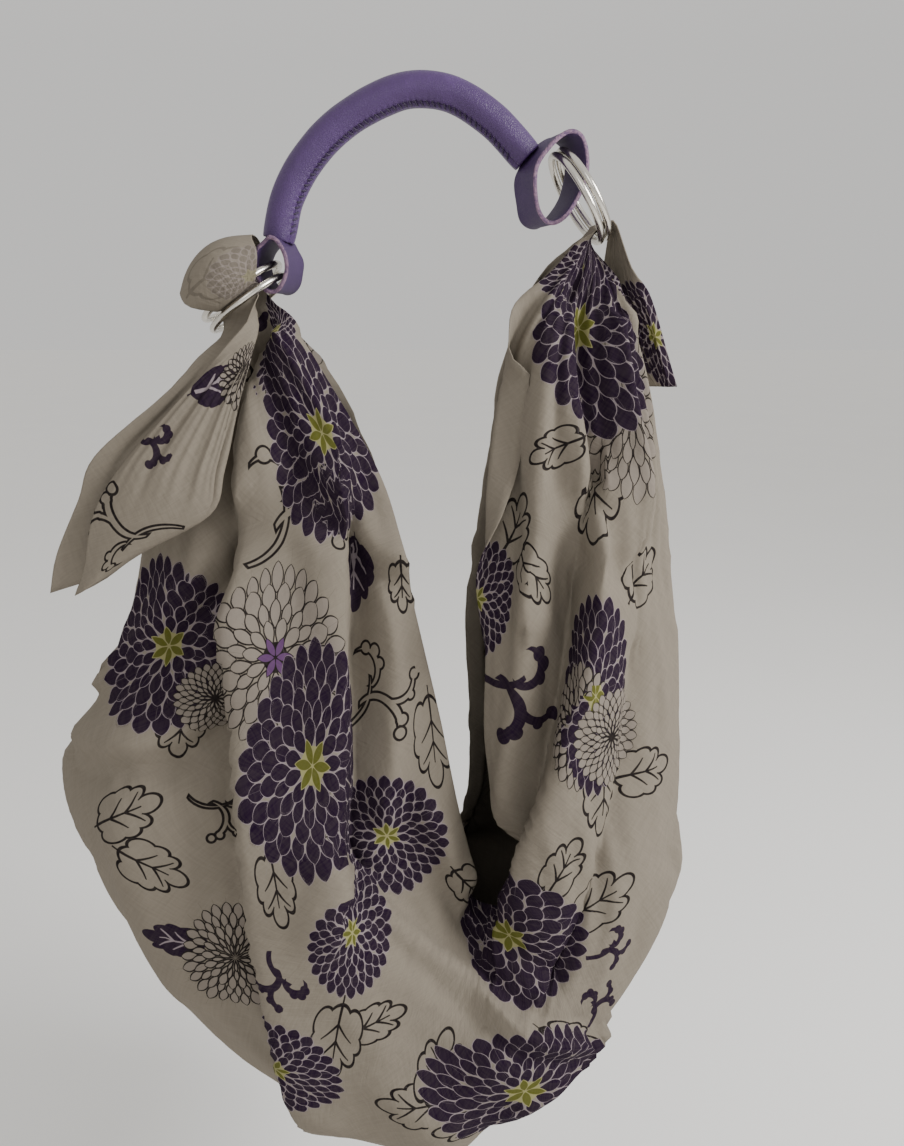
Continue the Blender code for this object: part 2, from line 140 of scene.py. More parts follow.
Loop = namedtuple("Loop", "name rows rise drop near far edge_rise edge_drop gather")
LEFT_LOOP = rows_of(
    Loop,
    ("under the lower ring", 1, 0.5, 19.2, 6, 9, 0, -2.2, 0),
    ("between the rings, inside", 1, 2.6, 21, 8, 8, 0, -2.6, 0),
    ("between the rings", 1, 3.2, 23, 8, 8, 0, -2.6, 0),
    ("between the rings, outside", 1, 3.4, 25.8, 8, 9, 0, -2.8, 0),
    ("above the gap", 1, 7, 30.5, 11, 12, -1, -4, 0.1),
    ("loop front", 2, 15, 34, 17, 17, -3, -5, 0.05),
    ("loop front top", 2, 27, 25, 19, 19, -6, -3, 0),
    ("loop top", 2, 31, 9, 19, 19, -6, 0, 0),
    ("loop back top", 2, 28, -6, 18, 18, -5, 0, 0),
    ("loop back", 2, 17, -11, 13, 15, -2, 0, 0),
)
RIGHT_LOOP = rows_of(
    Loop,
    ("before the lower ring", 1, -4, 20.2, 8, 8, 0, -1.4, 0),
    ("through both rings", 1, 2.1, 18.4, 7, 7, 0, -1.6, 0),
    ("past the upper ring", 1, 7, 20.2, 7, 7, 0, -1.5, 0),
    ("beside the upper ring", 1, 8.8, 24, 8, 8, 0, -1.4, 0),
)

# A fold seen from the front: the x and z of its start, middle and end, its height (below 0, a trough), how
# far it reaches to the left and to the right of its line, and how far its crest leans to the right.
Fold = namedtuple("Fold", "x1 z1 x2 z2 x3 z3 height left right lean", defaults=(0,))
NEAR_FOLDS = rows_of(
    Fold,
    # The strip down the middle of the left arm stands proud, with a sharp edge on its left.
    (-70, -122, -82, -180, -84, -262, 10, 4, 20, -3),
    (-73, -116, -91, -180, -92, -262, -10, 16, 5),
    (-84, -262, -79, -370, -52, -510, 13, 4, 26, -4),
    (-92, -262, -87, -370, -62, -510, -12, 22, 5),
    # The band beside the near hem hangs over it, and the strip ends in another sharp edge below.
    (-66, -94, -46, -176, -2, -226, 7, 6, 13, -1),
    (-70, -98, -53, -180, -10, -236, -8, 10, 6),
    (-34, -190, -34, -270, -36, -384, 11, 20, 4, 4),
    (-28, -200, -28, -280, -29, -380, -13, 5, 14),
    (-10, -240, -8, -300, -14, -370, 7, 9, 9),
    # Creases that run down to the left hip.
    (-86, -208, -112, -246, -152, -282, -12, 8, 15),
    (-92, -206, -120, -250, -168, -300, 8, 14, 5, 3),
    (-100, -300, -140, -322, -192, -332, 8, 14, 5),
    (-100, -308, -140, -332, -188, -344, -7, 6, 16),
    # The pouch below the near hem.
    (-32, -376, 16, -428, 86, -470, 13, 22, 5, 3),
    (-30, -388, 14, -440, 80, -482, -9, 6, 20),
    (-22, -352, 22, -398, 80, -434, -8, 12, 16),
    (8, -356, 22, -384, 34, -408, 9, 5, 11),
    (-40, -400, -20, -460, 20, -530, 6, 16, 16),
    # The right arm: a light band that runs down to the foot of the gap, between two deep troughs.
    (100, -190, 86, -290, 50, -418, 14, 5, 16, -4),
    (92, -196, 77, -290, 45, -408, -17, 13, 5),
    (64, -230, 58, -310, 41, -398, 9, 9, 6, -3),
    (120, -230, 112, -330, 74, -430, -11, 6, 18),
    (84, -95, 92, -160, 108, -230, -11, 6, 12),
    (78, -100, 84, -160, 96, -220, 8, 10, 5),
    (66, -120, 62, -180, 62, -250, 9, 5, 10, 2),
    (52, -130, 50, -180, 52, -230, -6, 7, 8),
    (104, -110, 118, -180, 124, -260, 6, 10, 5),
    (-140, -290, -150, -360, -120, -450, 7, 20, 18),
    (60, -500, 100, -470, 140, -400, 7, 18, 6),
)
FAR_FOLDS = rows_of(
    Fold,
    (-70, -110, -84, -210, -90, -340, 11, 14, 16),
    (-96, -150, -108, -230, -120, -330, -10, 14, 14),
    (-50, -130, -30, -240, -20, -370, 10, 12, 16),
    (-60, -220, -54, -320, -30, -430, -11, 14, 14),
    (-100, -300, -90, -400, -30, -500, -10, 16, 16),
    (-16, -462, -60, -460, -110, -430, 10, 18, 16),
    (40, -470, 80, -470, 120, -440, 10, 16, 18),
    (92, -90, 104, -190, 108, -320, 11, 14, 16),
    (70, -110, 66, -220, 60, -330, -10, 14, 14),
    (110, -200, 120, -300, 110, -400, -8, 14, 14),
    (-60, -510, 0, -540, 70, -520, 10, 18, 24),
)
# How fast a fold falls off beside its line: as a round ridge, or as a sharp trough.
RIDGE_POWER, TROUGH_POWER = 2.0, 1.3

# The gathers are a sum of waves: each has a share of the height, its half waves from the keel to a hem, and
# a phase that drifts by so much along the cloth, at its own pace and from its own start.
Wave = namedtuple("Wave", "share halves drift pace start")
GATHERS = Wave(1, 7, 1.5, 1, 0), Wave(0.6, 13, 2.2, 1.7, 1), Wave(0.4, 23, 2.0, 2.3, 2)
GATHER_STEP = 40  # rows

# The ripples everywhere: how high, how far apart across and along, the noise's seed and a shift across.
Ripple = namedtuple("Ripple", "height across along seed shift")
RIPPLES = Ripple(1.3, 16, 90, 3, 0), Ripple(0.7, 7, 46, 4, 5), Ripple(0.9, 34, 38, 5, 0)

# ------------------------------------------------------------------ the cloth's print

# A printed motif: where its middle shows in the camera's frame, from the left and from the top in pixels,
# its radius or half-length in millimetres, the way it runs in degrees (0 to the right, 90 up) and its width
# as a share of its length, below 1 where gathers squeeze it.
Motif = namedtuple("Motif", "kind across down radius turn narrow")
BLOOM, LINE_BLOOM, STAR_BLOOM, BUD = 0, 1, 2, 3
LEAF, DARK_LEAF = 0, 1
LINE_SCROLL, DARK_SCROLL = 0, 1


def motifs(kind, *rows):
    """Motifs of one kind."""
    return tuple(Motif(kind, *row) for row in rows)


BLOOMS = (
    *motifs(BUD, (613, 729, 27, 0, 0.95), (212, 706, 22, 0, 0.9)),
    *motifs(
        BLOOM,
        (322, 440, 56, -62, 0.5), (165, 653, 48, 60, 0.85), (307, 771, 62, 85, 0.6),
        (387, 843, 35, 0, 0.95), (347, 939, 35, 90, 0.66), (278, 1075, 36, -60, 0.7),
        (510, 935, 54, 0, 0.7), (528, 1089, 52, 10, 0.75), (579, 328, 57, 95, 0.72),
        (478, 590, 32, 90, 0.7), (598, 690, 52, 90, 0.55), (655, 338, 34, -60, 0.6),
        (588, 258, 26, 60, 0.6), (612, 280, 22, 60, 0.6), (273, 335, 24, 90, 0.5),
    ),
    *motifs(STAR_BLOOM, (268, 665, 48, 90, 0.8)),
    *motifs(
        LINE_BLOOM,
        (232, 960, 30, 90, 0.9), (632, 392, 50, 90, 0.55), (581, 725, 32, 90, 0.7), (245, 370, 20, 60, 0.6),
    ),
    *motifs(BLOOM, (250, 268, 19, 20, 0.8)),
    *motifs(BUD, (329, 835, 24, 90, 0.5)),
)
LEAVES = (
    *motifs(
        LEAF,
        (597, 489, 27, -92, 0.95), (214, 268, 19, 20, 0.9), (517, 529, 20, 60, 0.9),
        (534, 575, 18, -40, 0.9), (557, 442, 17, 200, 0.8), (639, 567, 20, 45, 0.9),
        (644, 762, 20, 10, 0.9), (605, 792, 22, -90, 0.9), (599, 895, 24, 30, 0.75),
        (563, 865, 18, 60, 0.8), (574, 1039, 20, -10, 0.7), (440, 1074, 22, 80, 0.8),
        (480, 1123, 22, 180, 0.7), (467, 890, 17, -60, 0.8), (400, 588, 15, -90, 0.7),
        (341, 517, 18, -80, 0.7), (276, 388, 18, -90, 0.5), (430, 743, 26, -85, 0.6),
        (270, 893, 20, -80, 0.7), (179, 732, 20, -100, 0.9), (121, 820, 21, 20, 0.9),
        (145, 868, 21, -25, 0.8), (335, 1045, 23, -100, 0.8), (375, 1025, 17, 20, 0.8),
        (420, 1110, 22, 180, 0.8),
    ),
    *motifs(DARK_LEAF, (351, 572, 21, -88, 0.9), (175, 947, 18, 170, 0.7), (216, 382, 14, 30, 0.9)),
)
SCROLLS = (
    *motifs(
        DARK_SCROLL,
        (512, 682, 30, 0, 0.9), (600, 1000, 13, 90, 0.9), (614, 950, 13, 30, 0.9), (275, 985, 16, -60, 0.8),
        (157, 438, 10, 0, 1),
    ),
    *motifs(
        LINE_SCROLL,
        (290, 515, 34, 75, 0.9), (370, 700, 28, 60, 0.9), (217, 818, 18, 0, 0.9), (135, 530, 24, 200, 0.8),
    ),
)
STAMP_LAYERS = {"bloom": 2, "leaf": 2, "scroll": 1}
FAR_AWAY = 9.0
FLATTEN_STEPS = 120
SIZE_UNIT = 200  # a motif's stored number is its kind plus its radius divided by this
MARGIN = 1.12  # how far out from a motif's middle its faces reach, as a share of its radius
AROUND_SEEN, FACES_SEEN = 0.3, 0.06  # the most of a scattered motif's surroundings and faces that may show

# ------------------------------------------------------------------ the grip and its leather loops

# The grip's middle line in x and z.
GRIP_LINE = (
    (-64.1, -68.1), (-58.5, -48), (-43, -25), (-18, -7), (2, 0), (21, -1.5), (43, -14), (59.3, -30.2),
)
GRIP_RADIUS = 8.2
GRIP_ROWS, GRIP_SIDES = 240, 72
GRIP_END_LENGTH, GRIP_END_SHARE = 7, 0.93  # how long its ends are drawn in, and to what share of the radius
STITCH_STEP = 3.2
SEAM_TURN = math.radians(148)  # from the outer side of the arch towards the front
SEAM_DEPTH, SEAM_PUFF = 1.1, 0.35
STITCH_RADIUS, STITCH_SIDES, STITCH_POINTS = 0.42, 6, 7
STITCH_REACH, STITCH_SPREAD = 0.42, 0.3  # half its length in steps, and half its angle round the grip
PINHOLE = 0.02

# A loop of strap: its middle line in x and z, how far it is turned about the upright, the y of its middle
# and how long it is from front to back.
Tab = namedtuple("Tab", "line turn middle_y length")
LEFT_TAB = Tab(
    (
        (-63, -68.5), (-57.5, -74.5), (-56.5, -84), (-62, -92.5), (-69, -90), (-72.5, -81), (-69.5, -73),
    ),
    -12,
    -3,
    21,
)
RIGHT_TAB = Tab(
    (
        (63, -30.5), (75, -21), (84, -28), (81, -48), (68.5, -61), (60, -56), (58, -40),
    ),
    20,
    -4.5,
    22,
)
LEATHER_THICKNESS = 2.0
TAB_ROWS, TAB_STEPS = 25, 16  # points from front to back, and steps from one point of its line to the next

FLOOR_REACH = 30000.0
AIM = (0, 0, -0.25)  # where the lights point

# The room's light: how high up it starts to grow and its colour below that, then where it is brightest.
HORIZON = 0.25, (0.70, 0.69, 0.675, 1)
OVERHEAD = 0.8, (0.9, 0.89, 0.87, 1)


# ------------------------------------------------------------------ curves, grids and meshes


def unit(vectors):
    """Each vector divided by its own length."""
    return vectors / np.maximum(np.linalg.norm(vectors, axis=-1, keepdims=True), 1e-9)


def smoothstep(values, low, high):
    """0 below low, 1 above high and 3t^2 - 2t^3 between them."""
    share = np.clip((values - low) / (high - low), 0, 1)
    return share * share * (3 - 2 * share)


def through(values, spacing, counts):
    """Smooth curves through the values, with that many samples up to the next and that spacing between them.

    Each span is the cubic whose slope at a value is the mean of the slopes on its two sides, weighted by
    the other side's spacing."""
    values = np.asarray(values, float)
    steps = np.asarray(spacing, float)[: len(values) - 1, None]
    slopes = np.diff(values, axis=0) / steps
    inner = (slopes[:-1] * steps[1:] + slopes[1:] * steps[:-1]) / (steps[:-1] + steps[1:])
    slope = np.vstack([slopes[:1], inner, slopes[-1:]])
    spans = []
    for index, count in enumerate(counts[: len(values) - 1]):
        t = np.arange(count)[:, None] / count
        start, end = values[index], values[index + 1]
        bend_start, bend_end = slope[index] * steps[index], slope[index + 1] * steps[index]
        spans.append(
            start * (2 * t**3 - 3 * t**2 + 1)
            + bend_start * (t**3 - 2 * t**2 + t)
            + end * (3 * t**2 - 2 * t**3)
            + bend_end * (t**3 - t**2)
        )
    return np.vstack(spans + [values[-1:]])


def full_turn(count):
    """Angles at equal steps round a circle."""
    return np.linspace(0, 2 * math.pi, count, endpoint=False)


def around(angle, first, second):
    """Points of the unit circle in the plane of two ways, at angles from the first towards the second."""
    return np.cos(angle)[..., None] * first + np.sin(angle)[..., None] * second


def even_noise(u, v, seed):
    """Smooth noise from -1 to 1: random values on whole numbers of u and v, joined by smoothsteps."""
    table = np.random.default_rng(seed).uniform(-1, 1, (256, 256))
    column, row = np.floor(u).astype(int), np.floor(v).astype(int)
    s, t = smoothstep(u - column, 0, 1), smoothstep(v - row, 0, 1)
    low = table[row % 256, column % 256] * (1 - s) + table[row % 256, (column + 1) % 256] * s
    high = table[(row + 1) % 256, column % 256] * (1 - s) + table[(row + 1) % 256, (column + 1) % 256] * s
    return low * (1 - t) + high * t


def travelled(points, axis):
    """The distance along the grid's lines from their first points."""
    steps = np.linalg.norm(np.diff(points, axis=axis), axis=-1)
    start = np.zeros_like(np.take(steps, [0], axis=axis))
    return np.concatenate([start, np.cumsum(steps, axis=axis)], axis=axis)


def grid_faces(rows, columns, round_rows=False, round_columns=False):
    """The corners of the quads between a grid's points: where it is round, the last line joins the first."""
    down = np.arange(rows if round_rows else rows - 1)[:, None]
    side = np.arange(columns if round_columns else columns - 1)[None, :]
    below, beside = (down + 1) % rows, (side + 1) % columns
    here, under = down * columns, below * columns
    corners = [here + side, here + beside, under + beside, under + side]
    return np.stack(corners, axis=-1).reshape(-1, 4)


def new_mesh(name, points, faces):
    """A smooth mesh from points in millimetres and quads or triangles."""
    mesh = bpy.data.meshes.new(name)
    mesh.vertices.add(len(points))
    mesh.vertices.foreach_set("co", (np.asarray(points, float) * MM).ravel())
    faces = np.asarray(faces)
    sides = faces.shape[1]
    mesh.loops.add(faces.size)
    mesh.loops.foreach_set("vertex_index", faces.ravel().astype(np.int32))
    mesh.polygons.add(len(faces))
    mesh.polygons.foreach_set("loop_start", np.arange(0, faces.size, sides, dtype=np.int32))
    mesh.polygons.foreach_set("use_smooth", np.ones(len(faces), bool))
    mesh.update(calc_edges=True)
    mesh.validate()
    return mesh


def new_object(name, data):
    """An object in the scene with that data."""
    made = bpy.data.objects.new(name, data)
    bpy.context.scene.collection.objects.link(made)
    return made


def new_piece(name, mesh, finishes):
    """The mesh as a piece that rides on the wrap, with its finishes."""
    piece = new_object(name, mesh)
    for finish in finishes:
        mesh.materials.append(finish)
    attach(piece, "root")
    return piece


def thicken(piece, thickness, inner=0, rim=0):
    """A wall of that thickness, half to each side, with its inner side and rim on the later materials."""
    wall = piece.modifiers.new("Thickness", "SOLIDIFY")
    wall.thickness = thickness * MM
    wall.offset = 0.0
    wall.use_quality_normals = True
    wall.material_offset = inner
    wall.material_offset_rim = rim


# ------------------------------------------------------------------ the cloth


def loop_sections(loop, rings):
    """The loop's rows as sections: each point is the centre plus rise and drop along the rings' own ways."""
    centre, rise, drop, across = (np.array(way, float) for way in rings)
    sections = []
    for row in loop:
        middle = centre + row.rise * rise + row.drop * drop
        edges = middle + row.edge_rise * rise + row.edge_drop * drop
        near, far = edges - row.near * across, edges + row.far * across
        sections.append(Section(row.name, row.rows, *near, *middle, *far, 0, 0, 1, row.gather))
    return tuple(sections)


def section_table():
    """The sections' numbers, one line to a row of the cloth, about ROW_STEP apart at their widest."""
    left_loop = loop_sections(LEFT_LOOP, LEFT_RINGS)
    right_loop = loop_sections(RIGHT_LOOP, RIGHT_RINGS)
    sections = LEFT_TAIL + left_loop + LEFT_SLING + RIGHT_SLING + right_loop + RIGHT_TAIL
    values = np.array([section[2:] for section in sections], float)
    spots = values[:, :9].reshape(-1, 3, 3)
    apart = np.linalg.norm(np.diff(spots, axis=0), axis=-1).max(axis=1)
    counts = np.maximum(np.ceil(apart / ROW_STEP).astype(int), 2)
    return through(values, [section.rows for section in sections], counts)


def places_across():
    """Where the points of a section lie: -1 at the near edge, 0 at the keel and 1 at the far edge."""
    return np.concatenate([np.linspace(-1, 0, NEAR_FACES, endpoint=False), np.linspace(0, 1, FAR_FACES + 1)])


def section_curve(near, keel, far, near_swell, far_swell, flat):
    """Each section's points from its near edge round the keel to its far edge.

    Folded, a side's share of the way to the keel is 0.6 sin(90 deg x reach) + 0.4 of a half cosine, and it
    bellies out by its swell times sin(180 deg x reach). Flat, the three points are joined by a parabola."""
    place = places_across()[None, :, None]
    reach = 1 - np.abs(place)
    run = 0.6 * np.sin(0.5 * math.pi * reach) + 0.4 * (1 - np.cos(math.pi * reach)) / 2
    edge = np.where(place < 0, near[:, None], far[:, None])
    swell = np.where(place < 0, -near_swell[:, None, None], far_swell[:, None, None])
    backward = np.array([0.0, 1.0, 0.0])
    folded = edge + (keel[:, None] - edge) * run + backward * swell * np.sin(math.pi * reach)
    half_width, lift = (far - near)[:, None] / 2, ((far + near) / 2 - keel)[:, None]
    opened = keel[:, None] + half_width * place + lift * place**2
    return folded + (opened - folded) * flat[:, None, None]


def print_side(grid):
    """Unit normals of the grid, on the side that bears the print: across x along."""
    return unit(np.cross(np.gradient(grid, axis=1), np.gradient(grid, axis=0)))


def fold_push(points, normals, folds):
    """How far the folds push points: along the normal by height x exp(-(distance / reach)^power) from each
    fold's line in x and z, and sideways by the lean times the same share."""
    spots = points[..., [0, 2]]
    push = np.zeros(points.shape)
    for fold in folds:
        start, middle, end = np.array(fold[:6], float).reshape(3, 2)
        handle = 2 * middle - (start + end) / 2
        t = np.linspace(0, 1, 41)[:, None]
        line = start * (1 - t) ** 2 + handle * 2 * t * (1 - t) + end * t**2
        offset = spots[..., None, :] - line
        nearest = np.linalg.norm(offset, axis=-1).argmin(axis=-1)
        aside = np.take_along_axis(offset, nearest[..., None, None], axis=-2)[..., 0, :]
        run = unit(np.gradient(line, axis=0))[nearest]
        on_right = run[..., 0] * aside[..., 1] - run[..., 1] * aside[..., 0] > 0
        reach = np.where(on_right, fold.right, fold.left)
        power = RIDGE_POWER if fold.height > 0 else TROUGH_POWER
        share = np.exp(-((np.linalg.norm(aside, axis=-1) / reach) ** power))
        side = np.stack([-run[..., 1], np.zeros(share.shape), run[..., 0]], axis=-1)
        side = side - normals * (side * normals).sum(axis=-1, keepdims=True)
        push += normals * (fold.height * share)[..., None] + side * (fold.lean * share)[..., None]
    return push


def turned_hem(body, normals, width, turn):
    """The hem beyond the body's first column, from its free edge to just short of that column.

    It leaves the body straight, turns by its angle over the first share of its width along an arc, and runs
    on straight: the arc's coordinates are the sums of the cosine and the sine of the angle turned so far."""
    outward = unit(body[:, 0] - body[:, 2])
    reverse = -unit(normals[:, 0] - outward * (normals[:, 0] * outward).sum(axis=1, keepdims=True))
    columns = []
    for share in reversed(HEM_SHARES):
        bent = min(share, HEM_BEND)
        angle = np.radians(turn) * bent / HEM_BEND
        half = np.sinc(angle / (2 * math.pi))
        out = bent * half * np.cos(angle / 2) + (share - bent) * np.cos(np.radians(turn))
        back = bent * half * np.sin(angle / 2) + (share - bent) * np.sin(np.radians(turn))
        columns.append(body[:, 0] + (width * out)[:, None] * outward + (width * back)[:, None] * reverse)
    return np.stack(columns, axis=1)


def pleats(gather, place):
    """The heights of the gathers: the gather times the sum of the waves across."""
    row = np.arange(len(gather))[:, None] / GATHER_STEP
    drifts = (wave.drift * np.sin(wave.pace * row + wave.start) for wave in GATHERS)
    heights = (
        wave.share * np.cos(wave.halves * math.pi * place + drift) for wave, drift in zip(GATHERS, drifts)
    )
    return gather[:, None] * sum(heights)


def cloth_grid(strength):
    """The cloth as rows of points from the left corner to the right, near hem to far hem."""
    table = section_table()
    near, keel, far = table[:, 0:3], table[:, 3:6], table[:, 6:9]
    near_swell, far_swell, flat, gather, near_hem, near_turn, far_hem, far_turn = table[:, 9:].T
    body = section_curve(near, keel, far, near_swell, far_swell, np.clip(flat, 0, 1))
    place = places_across()[None, :]
    normals = print_side(body)
    push = np.where(
        place[..., None] < 0, fold_push(body, normals, NEAR_FOLDS), fold_push(body, normals, FAR_FOLDS)
    )
    room = smoothstep(np.minimum(near_swell, far_swell), *FOLD_ROOM)[:, None]
    body = body + push * (strength * smoothstep(np.abs(place), 0, KEEL_SHARE) * room)[..., None]
    body = body + normals * pleats(gather, place)[..., None]
    along, across = travelled(body, 0), travelled(body, 1)
    fine = sum(
        ripple.height * even_noise(across / ripple.across + ripple.shift, along / ripple.along, ripple.seed)
        for ripple in RIPPLES
    )
    body = body + print_side(body) * (strength * fine * (0.15 + 0.85 * room))[..., None]
    normals = print_side(body)
    near_strip = turned_hem(body, normals, near_hem, near_turn)
    far_strip = turned_hem(body[:, ::-1], normals[:, ::-1], far_hem, far_turn)
    return np.concatenate([near_strip, body, far_strip[:, ::-1]], axis=1)


# ------------------------------------------------------------------ laying the print on the cloth


def view_ray(across, down):
    """The way from the camera to a place in its frame."""
    flat = Vector((across - FRAME_WIDTH / 2, FOCAL, FRAME_HEIGHT / 2 - down))
    c, s = math.cos(CAMERA_PITCH), math.sin(CAMERA_PITCH)
    return Vector((flat.x, flat.y * c + flat.z * s, -flat.y * s + flat.z * c)).normalized()


def window(grid, row, column, reach):
    """The rows and columns round a grid point beyond which nothing joined to it is nearer than the reach."""
    top, bottom, left, right = row, row + 1, column, column + 1

    def near(line):
        return np.linalg.norm(line - grid[row, column], axis=-1).min() < reach

    grown = True
    while grown:
        grown = False
        if top > 0 and near(grid[top, left:right]):
            top, grown = top - 1, True
        if bottom < len(grid) and near(grid[bottom - 1, left:right]):
            bottom, grown = bottom + 1, True
        if left > 0 and near(grid[top:bottom, left]):
            left, grown = left - 1, True
        if right < grid.shape[1] and near(grid[top:bottom, right - 1]):
            right, grown = right + 1, True
    return slice(top, bottom), slice(left, right)


def flattened(grid, row, column, right, up):
    """Flat coordinates of a piece of the grid round one of its points, with the shape it has when laid out.

    It starts from the distances along the middle row and then along the columns. Each step moves both ends
    of every edge and diagonal by half of what the edge is too long or too short, shared between the eight
    lines that meet at a point. At last it is turned to agree with the ways right and up near its middle."""
    ahead, aside = np.gradient(grid, axis=0)[row, column], np.gradient(grid, axis=1)[row, column]
    ways = unit(np.array([[aside @ right, aside @ up], [ahead @ right, ahead @ up]]))
    across, along = travelled(grid[row], 0), travelled(grid, 0)
    spot = (across - across[column])[None, :, None] * ways[0] + (along - along[row])[..., None] * ways[1]
    pairs = (
        (np.s_[:-1, :], np.s_[1:, :]),
        (np.s_[:, :-1], np.s_[:, 1:]),
        (np.s_[:-1, :-1], np.s_[1:, 1:]),
        (np.s_[1:, :-1], np.s_[:-1, 1:]),
    )
    rests = [np.linalg.norm(grid[b] - grid[a], axis=-1) for a, b in pairs]
    for _ in range(FLATTEN_STEPS):
        move = np.zeros_like(spot)
        for (a, b), rest in zip(pairs, rests):
            line = spot[b] - spot[a]
            length = np.maximum(np.linalg.norm(line, axis=-1), 1e-6)
            pull = line * (0.5 * (1 - rest / length))[..., None]
            move[a] += pull
            move[b] -= pull
        spot = spot + move * 0.3
    spot = spot - spot[row, column]
    seen = np.stack([(grid - grid[row, column]) @ right, (grid - grid[row, column]) @ up], axis=-1)
    weight = np.exp(-((np.linalg.norm(grid - grid[row, column], axis=-1) / 8) ** 2))
    cosine = (weight * (spot * seen).sum(axis=-1)).sum()
    sine = (weight * (spot[..., 0] * seen[..., 1] - spot[..., 1] * seen[..., 0])).sum()
    angle = math.atan2(sine, cosine)
    turn = np.array([[math.cos(angle), math.sin(angle)], [-math.sin(angle), math.cos(angle)]])
    return spot @ turn


def motif_faces(grid, row, column, normal, motif):
    """The faces under a motif, as their slices, and the motif's own coordinates at their corners."""
    camera_right = np.array([1.0, 0, 0])
    camera_up = np.array([0, math.sin(CAMERA_PITCH), math.cos(CAMERA_PITCH)])
    right = unit(camera_right - normal * (camera_right @ normal))
    up = unit(camera_up - normal * (camera_up @ normal) - right * (camera_up @ right))
    rows, columns = window(grid, row, column, motif.radius * 1.25)
    spot = flattened(grid[rows, columns], row - rows.start, column - columns.start, right, up)
    turn = math.radians(motif.turn)
    a = (spot[..., 0] * math.cos(turn) + spot[..., 1] * math.sin(turn)) / motif.radius
    b = (spot[..., 1] * math.cos(turn) - spot[..., 0] * math.sin(turn)) / (motif.radius * motif.narrow)
    own = np.stack([a, b, np.full(a.shape, motif.kind + motif.radius / SIZE_UNIT)], axis=-1)
    corners = np.stack([own[:-1, :-1], own[:-1, 1:], own[1:, 1:], own[1:, :-1]], axis=2)
    near = (np.hypot(corners[..., 0], corners[..., 1]) < MARGIN).any(axis=2)
    return slice(rows.start, rows.stop - 1), slice(columns.start, columns.stop - 1), near, corners


def stamp(layers, grid, row, column, normal, motif):
    """Lays a motif in the first layer where its place is free, and elsewhere under what is already there."""
    rows, columns, near, corners = motif_faces(grid, row, column, normal, motif)
    free = [near & (layer[rows, columns, 0, 2] < 0) for layer in layers]
    best = max(range(len(layers)), key=lambda index: (free[index].sum(), -index))
    part = layers[best][rows, columns]
    part[free[best]] = corners[free[best]]
    return free[best].sum() / max(near.sum(), 1)


def scatter(layers, grid, seen, kinds, radius, apart, tries, seed):
    """Fills the cloth that the camera doesn't see with more motifs, at random places so far apart."""
    random = np.random.default_rng(seed)
    normals = print_side(grid)
    along, across = travelled(grid, 0), travelled(grid, 1)
    taken = [layer[..., 0, 2] >= 0 for layer in layers]
    centres = []
    for _ in range(tries):
        row, column = random.integers(4, len(grid) - 4), random.integers(4, grid.shape[1] - 4)
        turn, kind = random.uniform(0, 360), kinds[random.integers(len(kinds))]
        size = random.uniform(0.85, 1.1)
        here = np.array([along[row, column], across[row, column]])
        if seen[row, column] or any(mask[row, column] for mask in taken):
            continue
        if any(np.linalg.norm(here - there) < apart for there in centres):
            continue
        motif = Motif(kind, 0, 0, radius * size, turn, 0.95)
        if seen[window(grid, row, column, motif.radius)].mean() > AROUND_SEEN:
            continue
        rows, columns, near, _ = motif_faces(grid, row, column, normals[row, column], motif)
        if (near & seen[:-1, :-1][rows, columns]).sum() > FACES_SEEN * near.sum():
            continue
        centres.append(here)
        stamp(layers, grid, row, column, normals[row, column], motif)


def seen_points(grid, tree):
    """Which of the grid's points the camera sees: every fourth is tested, and stands for its neighbours."""
    eye = Vector(CAMERA_SPOT)
    seen = np.zeros(grid.shape[:2], bool)
    for row in range(0, len(grid), 4):
        for column in range(0, grid.shape[1], 4):
            point = Vector(grid[row, column] * MM)
            hit = tree.ray_cast(eye, (point - eye).normalized())
            seen[row : row + 4, column : column + 4] = hit[0] is None or (hit[0] - point).length < 0.004
    return seen


def lay_print(mesh, grid):
    """Stores each layer's coordinates at the corners of the cloth's faces."""
    faces = grid_faces(*grid.shape[:2])
    tree = BVHTree.FromPolygons((grid.reshape(-1, 3) * MM).tolist(), faces.tolist())
    normals = print_side(grid)
    seen = seen_points(grid, tree)
    shape = (len(grid) - 1, grid.shape[1] - 1, 4, 3)
    for name, motifs, kinds, radius, apart, tries in (
        ("bloom", BLOOMS, (BLOOM, BLOOM, LINE_BLOOM), 44, 84, 900),
        ("leaf", LEAVES, (LEAF,), 24, 50, 900),
        ("scroll", SCROLLS, (LINE_SCROLL, DARK_SCROLL), 24, 90, 300),
    ):
        layers = [np.full(shape, FAR_AWAY) for _ in range(STAMP_LAYERS[name])]
        for layer in layers:
            layer[..., 2] = -1
        for motif in motifs:
            spot, _, face, _ = tree.ray_cast(Vector(CAMERA_SPOT), view_ray(motif.across, motif.down))
            if spot is None:
                raise RuntimeError(f"no cloth under {motif}")
            row, column = divmod(face, grid.shape[1] - 1)
            normal = normals[row, column]
            facing = normal @ (np.array(CAMERA_SPOT) - np.array(spot))
            stamp(layers, grid, row, column, normal if facing > 0 else -normal, motif)
        scatter(layers, grid, seen, kinds, radius, apart, tries, len(name))
        for index, layer in enumerate(layers):
            attribute = mesh.attributes.new(f"{name}_{index + 1}", "FLOAT_VECTOR", "CORNER")
            attribute.data.foreach_set("vector", layer.astype(np.float32).ravel())


